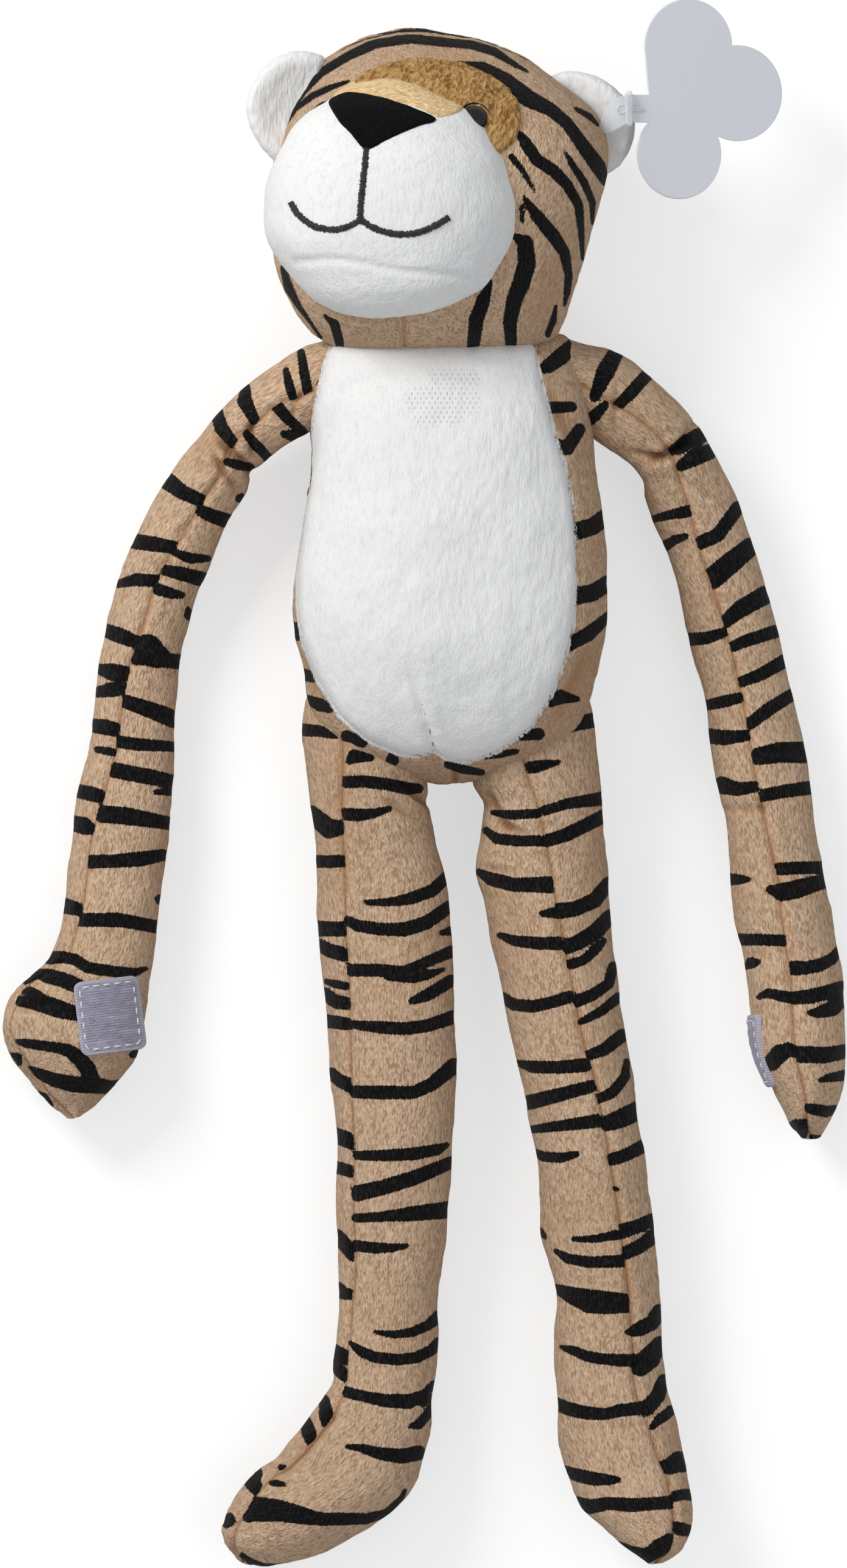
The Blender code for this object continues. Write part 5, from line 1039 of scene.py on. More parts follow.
@dataclass
class Stuffed:
    """A stuffed skin described by ribs: a limb, the torso, the head or the muzzle.

    Half heights and levels are pairs of a rib's number and a value. Sizes are in millimetres.
    """

    ribs: Numbers
    half_heights: Numbers
    levels: Numbers
    strokes: Strokes = ()
    folds: tuple[Fold, ...] = ()
    columns: int = 96
    step: float = 1.0
    power: float = 2.15
    seamed: bool = True
    seam_depth: float = 1.1
    lump: float = 0.75
    seed: float = 0.0
    pile: float = 0.3
    grooves: Strokes = ()
    groove_depth: float = 1.0
    eased: bool = False
    cap: float = 0.3
    crown: Optional[float] = None
    tip_rows: int = 9
    root_rows: int = 0

    def cloth(self) -> Cloth:
        """Build the skin's grid with its seam, folds and lumps.

        Returns:
            The grid.
        """
        ribs = np.reshape(self.ribs, (-1, 5))
        run = run_of((ribs[:, 0:2] + ribs[:, 2:4]) / 2.0)
        share = np.linspace(0.0, 1.0, int(run[-1] / self.step) + 1)
        if self.eased:
            share = share * 0.35 + (0.5 - np.cos(np.pi * share) / 2.0) * 0.65
        places = share * run[-1]
        edges = spline(run, ribs, places)
        first, second, share = edges[:, 0:2], edges[:, 2:4], edges[:, 4]
        rib = np.interp(places, run, np.arange(len(run)))
        knots = [np.reshape(pairs, (-1, 2)).astype(float) for pairs in (self.half_heights, self.levels)]
        heights, levels = (spline(pairs[:, 0], pairs[:, 1], rib) for pairs in knots)
        side = (second - first) / 2.0
        start = np.arccos(np.clip(1.0 - 2.0 * share, -0.98, 0.98))
        turn = start[:, None] + FULL_TURN * np.arange(self.columns)[None, :] / self.columns
        bend = 2.0 / self.power
        out = -np.sign(np.cos(turn)) * np.abs(np.cos(turn)) ** bend
        up = np.sign(np.sin(turn)) * np.abs(np.sin(turn)) ** bend
        points = np.zeros(turn.shape + (3,))
        points[..., :2] = ((first + second) / 2.0)[:, None, :] + side[:, None, :] * out[..., None]
        points[..., 2] = levels[:, None] + heights[:, None] * up
        points, places = self.closed_ends(points, places)
        spare = (self.root_rows, self.tip_rows)
        turn = np.pad(turn, (spare, (0, 0)), mode="edge")
        radius = np.maximum(np.pad(np.linalg.norm(side, axis=1), spare, mode="edge"), 1.0)[:, None]
        rows = np.broadcast_to(places[:, None], turn.shape)
        place = np.stack((-np.cos(turn) * radius, rows, np.sin(turn) * radius), axis=-1)
        made = Cloth(points * MM, place * MM + self.seed)
        arc = np.arange(self.columns)
        arc = np.minimum(arc, self.columns - arc) * FULL_TURN / self.columns * radius
        facing = made.normals()
        # Where this is high, the pile turns warm and dark brown: partly opened pile at seams and folds, partly
        # painted shade.
        made.marks["crease"] = self.worked(made, facing, arc)
        plan = made.points.copy()
        if self.crown is not None:
            drop = np.maximum(self.crown * MM - plan[..., 2], 0.0)
            plan[..., 1] += drop * np.clip(facing[..., 1] * 1.6 - 0.25, 0.0, 1.0)
        seam = (first + (second - first) * share[:, None]) * MM if self.seamed else None
        made.marks["stripe"] = stroke_distance(plan, self.strokes, seam)
        return made

    def worked(self, made: Cloth, facing: Array, arc: Array) -> Array:
        """Move a grid's points in and out for its lumps, seam, grooves, folds and pile.

        Args:
            made: The grid.
            facing: Outward directions of its smooth form.
            arc: Distance of each point from the long seam, in millimetres.

        Returns:
            How deep in a crease each point is, 0 to 1.
        """
        amount = lumps(made.points, 26.0 * MM, self.seed) * self.lump * MM
        amount += lumps(made.points, 10.0 * MM, self.seed + 5.0) * self.lump * 0.45 * MM
        crease = np.zeros(amount.shape)
        if self.seamed:
            pucker = 1.0 + 0.55 * lumps(made.points, 4.5 * MM, self.seed + 9.0)
            groove = np.exp(-((arc / 1.15) ** 2))
            amount -= groove * self.seam_depth * MM * pucker
            amount += np.exp(-(((arc - 3.2) / 2.0) ** 2)) * 0.3 * MM * pucker
            crease += groove * 0.8
        if self.grooves:
            gap = stroke_distance(made.points, self.grooves)
            line = np.exp(-((np.maximum(gap, 0.0) / (0.9 * MM)) ** 2)) * (facing[..., 2] > GROOVE_FACE)
            amount -= line * self.groove_depth * MM
            crease += line * 0.7
        for fold in self.folds:
            depth = fold.depth_at(made.points, facing)
            amount -= depth
            crease += np.clip(depth / (2.2 * MM), 0.0, 1.0) * 0.8
        made.push(amount)
        made.fluff(1.25, 3.4, self.pile, self.seed)
        low = made.points[..., 2]
        low = np.where(low < REST_LEVEL, REST_LEVEL + (low - REST_LEVEL) * 0.02, low)
        made.points[..., 2] = np.maximum(low, 0.02 * MM)
        return np.clip(crease, 0.0, 1.0)

    def closed_ends(self, points: Array, places: Array) -> tuple[Array, Array]:
        """Round off the ends.

        Args:
            points: The open grid, in millimetres.
            places: Distances of its rows.

        Returns:
            The grid with its end rows, and the rows' distances.
        """
        for count, edge, inner, sign in ((self.tip_rows, -1, -2, 1.0), (self.root_rows, 0, 1, -1.0)):
            if not count:
                continue
            ring = points[edge]
            middle = ring.mean(axis=0)
            ahead = middle - points[inner].mean(axis=0)
            ahead /= max(np.linalg.norm(ahead), 1e-9)
            reach = min(np.linalg.norm(ring[:, :2] - middle[:2], axis=1).max() * self.cap, 6.0)
            angles = np.linspace(0.0, math.pi / 2.0, count + 1)[1:]
            cap = np.array([
                middle + ahead * reach * math.sin(angle) * 0.8
                + (ring - middle) * max(math.cos(angle), 0.02)
                for angle in angles
            ])
            mark = places[edge] + sign * reach * np.sin(angles)
            if edge:
                points, places = np.concatenate((points, cap)), np.concatenate((places, mark))
            else:
                points = np.concatenate((cap[::-1], points))
                places = np.concatenate((mark[::-1], places))
        return points, places


class Surface:
    """Skins that other pieces are laid on."""

    def __init__(self, *pieces: Piece) -> None:
        """Gather the faces of the pieces, which stand at the origin."""
        points, faces = [], []
        for piece in pieces:
            faces += shifted([face.vertices for face in piece.data.polygons], len(points))
            points += [vertex.co.copy() for vertex in piece.data.vertices]
        self.tree = BVHTree.FromPolygons(points, faces)

    def landed(self, places: Array, way: Place = (0.0, 0.0, -1.0), back: float = 0.3) -> tuple:
        """Lay places on the skins.

        Args:
            places: Places, in metres.
            way: Direction in which they are laid.
            back: How far from its place each ray starts, in metres.

        Returns:
            The places on the skins and the outward directions there.
        """
        ray = Vector(way).normalized()
        found = []
        for place in places.reshape(-1, 3):
            spot, normal, _, _ = self.tree.ray_cast(Vector(place) - ray * back, ray)
            if spot is None:
                spot, normal, _, _ = self.tree.find_nearest(Vector(place))
            found.append((tuple(spot), tuple(normal if normal.dot(ray) < 0.0 else -normal)))
        found = np.array(found)
        return found[:, 0].reshape(places.shape), found[:, 1].reshape(places.shape)


@dataclass
class Patch:
    """A patch of fabric that is sewn on a skin, from its outline in plan, in millimetres."""

    outline: Numbers
    centre: tuple[float, float]
    proud: float = 0.9
    edge: float = 2.2
    sunk: float = 0.5
    rings: int = 40
    columns: int = 180
    lie: float = 90.0
    clump: tuple[float, float] = (1.1, 3.0)
    pile: float = 0.22
    smooth: int = 2
    seed: float = 0.5
    dent: Numbers = ()

    def edge_line(self) -> Array:
        """Smooth closed outline with evenly spaced points, in millimetres."""
        line = evenly(np.reshape(self.outline, (-1, 2)), self.columns)
        return softened(softened(softened(line, 0), 0), 0)

    def cloth(self, surface: Surface) -> Cloth:
        """Lay the patch on a skin.

        Args:
            surface: What it lies on.

        Returns:
            The patch's grid, from its middle to its edge.
        """
        line = self.edge_line()
        centre = np.array(self.centre)
        share = np.linspace(0.02, 1.0, self.rings) ** 0.8
        plan = centre + (line - centre)[None, :, :] * share[:, None, None]
        spots, facing = surface.landed(on_ground(plan))
        for _ in range(self.smooth * 4):
            inner = softened(facing, 1)
            facing = inner / np.maximum(np.linalg.norm(inner, axis=-1, keepdims=True), 1e-9)
        for _ in range(self.smooth):
            spots[1:-1] = (spots[:-2] + spots[1:-1] * 2.0 + spots[2:]) / 4.0
            spots = softened(spots, 1)
        gap = (1.0 - share)[:, None] * np.linalg.norm(line - centre, axis=1)[None, :]
        lift = -self.sunk + (self.proud + self.sunk) * dome(gap, self.edge)
        if self.dent:
            crease = np.maximum(stroke_distance(spots, (self.dent,)), 0.0) / MM
            from_end = np.linalg.norm(spots[..., :2] / MM - np.array(self.dent[:2]), axis=-1)
            bank = 0.35 * np.exp(-(((crease - 3.2) / 2.2) ** 2))
            lift -= (0.95 * np.exp(-((crease / 1.1) ** 2)) - bank) * np.clip(from_end / 12.0, 0.0, 1.0)
        points = spots + facing * (lift * MM)[..., None]
        turn = math.radians(self.lie)
        away = np.array((math.cos(turn), math.sin(turn), 0.0))
        beside = np.array((math.sin(turn), -math.cos(turn), 0.0))
        place = np.stack((points @ beside, points @ away, points[..., 2]), axis=-1) + self.seed
        made = Cloth(points, place, toward=(0.0, 0.0, 1.0))
        made.fluff(*self.clump, self.pile, self.seed)
        return made


class Side(Enum):
    """Side of the toy, as the photograph shows it."""

    LEFT = "left"
    RIGHT = "right"


@dataclass
class Limb:
    """An arm or a leg: one stuffed skin that is split between its joints.

    A link is its joint, the body after it, and how far its bend reaches before and after the
    joint, along the skin, in millimetres.
    """

    side: Side
    root: str
    links: tuple[tuple[str, str, float, float], ...]
    skin: Stuffed

    def build(self, finish: Material) -> list[Piece]:
        """Build the skin's pieces, split between its joints.

        Args:
            finish: Material of the plush.

        Returns:
            The pieces, from the root to the tip.
        """
        name = self.side.value
        cloth = self.skin.cloth()
        middle = cloth.points[..., :2].mean(axis=1)
        places = np.array([joint_place(link[0].format(name)) for link in self.links])
        rows = [int(np.argmin(np.linalg.norm(middle - place[:2], axis=1))) for place in places]
        run = run_of(middle) / MM
        borders = [0]
        for index in range(1, len(rows)):
            stop = run[rows[index - 1]] + self.links[index - 1][3]
            start = run[rows[index]] - self.links[index][2]
            borders.append(int(np.argmin(np.abs(run - (stop + start) / 2.0))))
        borders.append(len(run) - 1)
        made = []
        for index, (_, part, lead, trail) in enumerate(self.links):
            after = f"{part}_{name}"
            nodes = (f"{after}_cover", f"{after}_filling") if index else (f"{part}_seam_{name}",)
            piece = cloth.piece(
                f"{name}_{part if index else self.root}", finish, borders[index], borders[index + 1] + 1,
                (False, index == len(rows) - 1),
            )
            near, far = max(rows[index] - BEND_ROWS, 0), min(rows[index] + BEND_ROWS, len(run) - 1)
            ahead = middle[far] - middle[near]
            ahead = np.append(ahead / np.linalg.norm(ahead), 0.0)
            start = places[index] - ahead * lead * MM
            end = places[index] + ahead * trail * MM
            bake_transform(piece)
            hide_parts(*nodes)
            made.append(piece)
        return made


def table_skin(rows: Numbers, **settings) -> Stuffed:
    """Skin from rows of the place along, the left and right edges, and the back and front.

    Args:
        rows: Five numbers for each place along the body, in millimetres.
        settings: Other values of the skin.

    Returns:
        The skin.
    """
    along, left, right, back, front = np.reshape(rows, (-1, 5)).T
    ribs = np.stack((left, along, right, along, np.full(len(along), 0.5)), axis=1)
    numbers = np.arange(len(along))
    heights = np.stack((numbers, (front - back) / 2.0), axis=1)
    levels = np.stack((numbers, (front + back) / 2.0), axis=1)
    return Stuffed(ribs, heights, levels, seamed=False, cap=0.08, eased=True, tip_rows=5, root_rows=5,
                   **settings)


@dataclass
class Torso:
    """The body of the toy: a tan skin with stripes and a white belly panel sewn into it."""

    rows: Numbers = (
        77, -26, 34, 26, 44, 76, -33, 38, 18, 52, 73.4, -39.5, 41, 11, 58, 69, -43.4, 43, 6, 62.4, 63, -45.2,
        45, 2.5, 65.5, 55, -46, 46.6, 0.3, 68, 45, -46, 47.8, -0.5, 69.2, 30, -46.4, 49, -0.5, 69.8, 12,
        -48.4, 51.4, -0.5, 69.8, -6, -50.6, 52.4, -0.5, 69.6, -22, -50.2, 51.6, -0.4, 68.2, -34, -47.8, 49.4,
        0, 65.5, -46, -45.4, 46, 0.6, 61, -55, -40.5, 41, 2, 56, -62, -32, 34, 5, 50, -67, -22.5, 25, 9.5,
        43.5, -70, -13, 15, 15, 37, -71.6, -5, 6, 20, 31,
    )
    panel_edge: Numbers = (
        -37.4, 74, -40.4, 66, -42.8, 55, -44.6, 44, -45.5, 32, -47, 15, -49.4, -4, -49.2, -14, -47.6, -25,
        -42.6, -38, -35.2, -49.6, -26, -57.4, -15.6, -62, -10, -62.6, -4.2, -60.8, 0, -63.4, 6.2, -64.6, 17,
        -60.8, 26.8, -53.4, 33.6, -43.4, 38.2, -31.6, 41.2, -19, 42.2, -5.8, 41.8, 8, 40.8, 20, 38.6, 32, 35,
        42.8, 32, 56, 29.2, 66, 28.6, 74,
    )
    crotch_seam: Numbers = (
        2, -64, 0.2, 2.4, -68, 0.2, 2.6, -74, 0.2,
    )
    worn_spot: Strokes = (
        (-4, 61.6, 2.6, 8, 61.4, 2.6), (-10, 54.6, 4, 6, 54, 4.6), (-9, 48, 2.4, 3, 49, 3),
    )
    panel_crease: Numbers = (
        -12.4, -33.6, 0.1, -9.6, -42, 0.1, -6.6, -52, 0.1, -4.2, -61.6, 0.2,
    )
    folds: tuple[Fold, ...] = (
        Fold(-40, 44, 62, 14, 3, 1.8), Fold(38, 50, 118, 14, 3, 1.8), Fold(-24, 61, 20, 16, 3, 1.3),
        Fold(14, 60, -12, 18, 3, 1.2), Fold(-44, -40, -62, 14, 3, 1.6), Fold(42, -38, 64, 14, 3, 1.6),
        Fold(-8, 12, 8, 26, 8, -0.9), Fold(6, -30, -20, 26, 10, -0.9),
    )

    def build(self, finishes: Finishes) -> list[Piece]:
        """Build the skin of the body and its belly panel.

        Args:
            finishes: Materials by the record's material slots.

        Returns:
            The pieces.
        """
        skin = table_skin(
            self.rows, strokes=TORSO_STRIPES, folds=self.folds, columns=176, step=1.1, power=2.25, lump=0.9,
            seed=0.31, grooves=(stroke_along(self.panel_edge, 0.2), self.crotch_seam), groove_depth=1.1,
        )
        cloth = skin.cloth()
        rim = stroke_distance(cloth.points, (stroke_along(self.panel_edge, 0.0),))
        front = np.clip(cloth.normals()[..., 2] * 6.0 + 1.0, 0.0, 1.0)
        cloth.marks["fringe"] = np.clip(1.0 - rim / (1.5 * MM), 0.0, 1.0) * front
        skin_piece = cloth.piece("torso_skin", finishes["torso_plush"], caps=(True, True))
        hang(skin_piece, "torso", ("torso_cover", "torso_filling"))
        patch = Patch(self.panel_edge, (-3, 6), 0.9, 2.4, 0.7, rings=72, columns=300, pile=0.2, lie=-90.0,
                      seed=0.44, dent=self.panel_crease)
        panel = patch.cloth(Surface(skin_piece))
        bare = stroke_distance(panel.points, self.worn_spot) / MM
        panel.marks["worn"] = 1.0 - np.clip((bare + 1.0) / 2.2, 0.0, 1.0)
        panel_piece = panel.piece("belly_patch", finishes["belly_plush"])
        return [skin_piece, hang(panel_piece, "torso", ("belly_panel",))]


@dataclass
class Head:
    """The head: a tan skin with stripes and a large white muzzle."""

    rows: Numbers = (
        69, -21, 10, 30, 50, 71.5, -35, 25, 20, 62, 75, -42.5, 34, 13, 70, 79.4, -47, 37, 7.5, 76, 86, -52,
        39.8, 3, 80.5, 97, -56.6, 43.8, 0.3, 84.5, 110, -58.6, 47.4, 0, 86, 123.6, -58.6, 51.4, 0, 86, 133,
        -57.4, 53.4, 0.2, 85.4, 139, -56.2, 53.2, 0.6, 84, 149, -53, 48.6, 4, 80.6, 156, -49.4, 42, 8, 76,
        162, -45.6, 33, 13, 71, 167.5, -39.6, 24.2, 19, 65, 172, -31.6, 12.4, 25, 58, 175, -24.4, 1, 32, 51,
        176.4, -17.4, -6, 37, 46,
    )
    muzzle_rows: Numbers = (
        81.5, -27, -15, 60, 78, 82.8, -34, -6, 50, 86, 85.5, -40.5, 3, 44, 91, 90, -46.5, 12.5, 39, 95.5, 97,
        -53, 18.5, 35.5, 99.5, 106, -58.8, 23.3, 33.5, 102.3, 116.6, -60, 25, 33, 103.6, 126, -59.2, 23, 34,
        103.2, 132.6, -56.7, 20.4, 42, 101.8, 138, -53.4, 16, 53, 99.8, 143.4, -49.8, 11.8, 61, 97.4, 148.4,
        -44.6, 7.4, 66, 94, 152, -39.2, -0.5, 69, 89.6, 156, -33.2, -8, 71, 84.6, 158, -26.2, -12.8, 72.4, 81,
        158.8, -21, -16, 73.6, 78.4,
    )
    crown_bands: Strokes = (
        (-22, 181, 1.2, -8, 183, 2.2, 4, 182, 2.2, 16, 179, 1.4), (23, 175, 1, 32, 170.5, 2, 42, 164, 1.8, 48,
        157, 1), (-46, 184, 1.2, -30, 189, 2.2, -10, 192, 2.4, 12, 189, 2, 28, 183, 1.2), (-40, 197, 1.2, -22,
        202, 2.2, -2, 203, 2.4, 22, 198, 1.4), (-44, 210, 1, -24, 215, 2, 0, 216, 2.2, 24, 211, 1.2),
    )
    chin_centre: Strokes = (
        (-14, 68, 0.1, -14.4, 76, 0.1, -15, 84, 0.1),
    )
    chin_seam: Strokes = (
        (-49.8, 99.2, 0.1, -40, 99.6, 0.1, -31.6, 99.2, 0.1, -24, 97.4, 0.1, -16, 96, 0.1, -6, 95.2, 0.1, 4,
        94.4, 0.1, 10.8, 93.2, 0.1),
    )
    nose_edge: Numbers = (
        -39.4, 151.2, -38, 152.6, -35, 154, -32.6, 154.6, -26.4, 154, -20.4, 152.6, -12.4, 149.6, -6.6, 147.2,
        -3.2, 145.6, -4, 144.6, -9, 143.4, -15, 140.8, -20.6, 138.2, -24.4, 135.9, -26.4, 135.3, -28.4, 136.3,
        -31.6, 140.6, -35.4, 144.4, -37.8, 148.2,
    )
    bridge_edge: Numbers = (
        -38.6, 152.6, -36.4, 155, -33.7, 157.4, -25.9, 159.6, -18.1, 159.4, -10.3, 157.4, -2.6, 154.6, 3.6,
        151.4, 6.6, 150, 3.6, 147.6, -2.6, 145.8, -10.3, 149.6, -18.1, 151.6, -25.9, 153.2, -32.6, 153.6,
        -36.6, 152.8,
    )
    mask_edge: Numbers = (
        -31.4, 158, -27, 161.6, -20, 164.2, -12, 165.8, -4, 166, 4, 165, 10, 162.6, 15.6, 159.4, 20.2, 156,
        23.2, 151.6, 24.4, 146.6, 23.4, 141.4, 21, 137, 17, 134, 8, 136, 0, 142, -12, 148, -22, 152,
    )
    smile_left: Numbers = (
        -51.2, 118.6, -49.6, 115.6, -47.2, 112.9, -43.6, 110.6, -39.4, 109.5, -34.8, 109.7, -31.2, 111, -28.6,
        112.6,
    )
    smile_right: Numbers = (
        -28.6, 112.6, -25.4, 110.6, -21.4, 108.9, -17.2, 108, -12.6, 107.9, -8, 108.9, -3.8, 110.8, 0.4,
        113.4,
    )
    philtrum: Numbers = (
        -26.6, 136, -27, 131, -27.6, 125, -28.2, 119, -28.6, 112.8,
    )

    def build(self, finishes: Finishes) -> list[Piece]:
        """Build the skins of the head and the muzzle, and the face.

        Args:
            finishes: Materials by the record's material slots.

        Returns:
            The pieces.
        """
        skin = table_skin(
            self.rows, strokes=HEAD_STRIPES + self.crown_bands, crown=52.0, columns=300, step=0.8, power=2.3,
            lump=0.9, seed=0.57, grooves=self.chin_centre, groove_depth=0.8,
        )
        head = skin.cloth().piece("head_skin", finishes["head_plush"], caps=(True, True))
        hang(head, "head", ("head_cover", "head_filling"))
        skin = table_skin(
            self.muzzle_rows, columns=160, step=0.9, power=2.25, lump=0.7, seed=0.83, pile=0.2,
            grooves=self.chin_seam, groove_depth=0.9, folds=(Fold(-20, 90, 2, 26, 4.2, -0.45),),
        )
        muzzle = skin.cloth().piece("muzzle_skin", finishes["white_plush"], caps=(True, True))
        hang(muzzle, "head", ("muzzle_cover", "muzzle_filling"))
        made = [head, muzzle]
        brow, snout, face = Surface(head), Surface(muzzle), Surface(head, muzzle)
        for name, surface, slot, node, patch in (
            ("eye_patch", brow, "mask_plush", "eye_mask",
             Patch(self.mask_edge, (0, 156), 1.7, 2.6, pile=0.55, clump=(1.5, 3.2), lie=70.0, seed=0.21)),
            ("bridge_patch", face, "bridge_plush", "nose_bridge",
             Patch(self.bridge_edge, (-16, 154.6), 0.6, 1.2, 0.4, rings=22, pile=0.12, smooth=1, lie=10.0,
                   seed=0.27)),
            ("nose_patch", snout, "nose_plush", "nose",
             Patch(self.nose_edge, (-24, 148), 1.1, 1.6, 0.4, rings=30, pile=0.1, clump=(0.7, 1.1),
                   smooth=1, lie=100.0, seed=0.33)),
        ):
            made.append(hang(patch.cloth(surface).piece(name, finishes[slot]), "head", (node,)))
        for name, line, node in (
            ("smile_stitch_left", self.smile_left, "smile_left"),
            ("smile_stitch_right", self.smile_right, "smile_right"),
            ("philtrum_stitch", self.philtrum, "philtrum"),
        ):
            piece = SatinLine(line, seed=len(made) * 0.13).build(name, snout, finishes["thread"])
            made.append(hang(piece, "head", (node,)))
        return made + self.eyes(finishes, brow)

    def eyes(self, finishes: Finishes, brow: Surface) -> list[Piece]:
        """Make the two eyes: glossy domes on the brow, with a stitched rim.

        Args:
            finishes: Materials by the record's material slots.
            brow: Skin of the head.

        Returns:
            The eyes.
        """
        made = []
        for side, spot, way in ((Side.RIGHT, (8.6, 145.8, 70.0), (0.0, 0.0, -1.0)),
                                (Side.LEFT, (-41.0, 146.6, 78.0), (0.2, 0.0, -0.98))):
            landed, facing = brow.landed(np.array([spot]) * MM, way)
            facing = Vector(facing[0])
            if side is Side.RIGHT:
                facing = Vector((0.16, 0.2, 0.96)).normalized()
            across = facing.orthogonal().normalized()
            aside = facing.cross(across)
            rows = []
            for reach, lift in ((0.1, 3.6), (1.2, 3.5), (2.3, 3.15), (3.2, 2.5), (3.9, 1.6), (4.3, 0.6),
                                (4.45, -0.4), (5.0, 0.1), (5.3, 0.7), (5.5, 0.1), (5.6, -1.2)):
                rows.append([
                    Vector(landed[0]) + (across * math.cos(turn) + aside * math.sin(turn)) * reach * MM
                    + facing * (lift + 0.9) * MM
                    for turn in turns(48)
                ])
            points = np.array(rows)
            cloth = Cloth(points, points.copy(), toward=tuple(facing))
            piece = cloth.piece(f"eye_dome_{side.value}", finishes["eye_plastic"])
            made.append(hang(piece, "head", (f"eye_{side.value}",)))
        return made


@dataclass
class SatinLine:
    """A line of satin stitch: threads laid side by side across it, with ragged ends."""

    line: Numbers
    half_width: float = 1.35
    height: float = 0.8
    pitch: float = 0.42
    ragged: float = 0.3
    seed: float = 0.0
    shares: Numbers = (-1.0, -0.86, -0.6, -0.3, 0.0, 0.3, 0.6, 0.86, 1.0)

    def build(self, name: str, surface: Surface, finish: Material) -> Piece:
        """Build the threads on a skin.

        Args:
            name: The piece's name.
            surface: Skin that the line is sewn to.
            finish: Material of the thread.

        Returns:
            The line of stitches.
        """
        knots = np.reshape(self.line, (-1, 2))
        run = run_of(knots)
        places = np.linspace(0.0, run[-1], int(run[-1] / self.pitch) * 4 + 1)
        middle = spline(run, knots, places)
        ahead = np.gradient(middle, axis=0)
        ahead /= np.linalg.norm(ahead, axis=1, keepdims=True)
        side = np.stack((-ahead[:, 1], ahead[:, 0]), axis=1)
        thread = np.floor(places / self.pitch)
        rng = np.random.default_rng(int(self.seed * 100) + 7)
        uneven = rng.uniform(-1.0, 1.0, (int(thread.max()) + 2, 2)) * self.ragged
        shares = np.array(self.shares)
        ridge = 0.35 + 0.65 * np.sin((places / self.pitch - thread) * np.pi)
        low = -(self.half_width + uneven[thread.astype(int), 0])
        high = self.half_width + uneven[thread.astype(int), 1]
        reach = np.where(shares[None, :] < 0.0, -shares * low[:, None], shares * high[:, None])
        spots, facing = surface.landed(on_ground(middle[:, None, :] + side[:, None, :] * reach[..., None]))
        facing[:] = facing[:, 4:5, :]
        spots = spots[:, 4:5, :] + (spots - spots[:, 4:5, :]) * 0.85
        rise = np.sqrt(np.clip(1.0 - np.abs(shares) ** 2.4, 0.0, 1.0))
        lift = (-0.35 + (self.height + 0.35) * rise[None, :] * (0.7 + 0.3 * ridge[:, None])) * MM
        points = spots + facing * lift[..., None]
        place = on_ground(np.stack((reach, np.broadcast_to(places[:, None], reach.shape)), axis=-1))
        cloth = Cloth(points, place, closed=False, toward=(0.0, 0.0, 1.0))
        return cloth.piece(name, finish, caps=(False, False))


def arm(side: Side) -> Limb:
    """An arm with its hand.

    Args:
        side: Which one.

    Returns:
        The limb.
    """
    if side is Side.LEFT:
        skin = Stuffed(
            ARM_LEFT_RIBS,
            (0, 17, 4, 16, 8, 15, 12, 13.2, 17, 13.8, 20, 14.8, 23, 16.2, 26, 17.5, 28, 14.5, 30, 7),
            (0, 30, 4, 27, 8, 19, 12, 13, 17, 13.3, 20, 14.3, 23, 15.8, 26, 17.1, 30, 17),
            ARM_LEFT_STRIPES, seed=0.11,
            folds=(Fold(-69.6, 35.6, -42, 9, 1.5, 3.6), Fold(-64.4, 41, -85, 6, 1.2, 3.0),
                   Fold(-73, 30, -55, 8, 1.3, 2.2), Fold(-78, 38, 70, 10, 5, 1.2),
                   Fold(-75, 31.5, -40, 8, 3.4, -1.2), Fold(-50, 52, 70, 8, 1.3, 1.6),
                   Fold(-138.5, -166, -61, 10, 1.4, 1.6), Fold(-136, -145, 10, 6, 1.3, 1.8),
                   Fold(-141, -150, 60, 5, 3, -1.1)),
        )
    else:
        skin = Stuffed(
            ARM_RIGHT_RIBS,
            (0, 17, 4, 16, 8, 14.5, 12, 13, 16, 14, 19, 15.5, 21, 18, 24, 23, 26, 22, 27, 18, 28, 9),
            (0, 30, 4, 27, 8, 19, 12, 12.8, 16, 13.5, 19, 15, 21, 17.6, 24, 22.6, 26, 22, 28, 20),
            ARM_RIGHT_STRIPES, seed=0.23,
            folds=(Fold(73.3, 37.4, 25, 8.5, 1.4, 3.4), Fold(78, 42, 60, 6, 1.2, 2.4),
                   Fold(66, 36, -10, 6, 1.2, 2.2), Fold(70, 33, 20, 7, 3, -1.1),
                   Fold(99.4, -80, 5, 6.5, 1.7, 1.4), Fold(55, 50, 80, 8, 1.3, 1.6),
                   Fold(104, -126, 35, 6, 1.4, 1.2)),
        )
    return Limb(side, "arm_root", (
        ("shoulder_{}_swing", "shoulder", 12, 4), ("shoulder_{}_lift", "upper_arm", -12, 30),
        ("elbow_{}", "forearm", 18, 18), ("wrist_{}", "hand", 16, 8),
    ), skin)


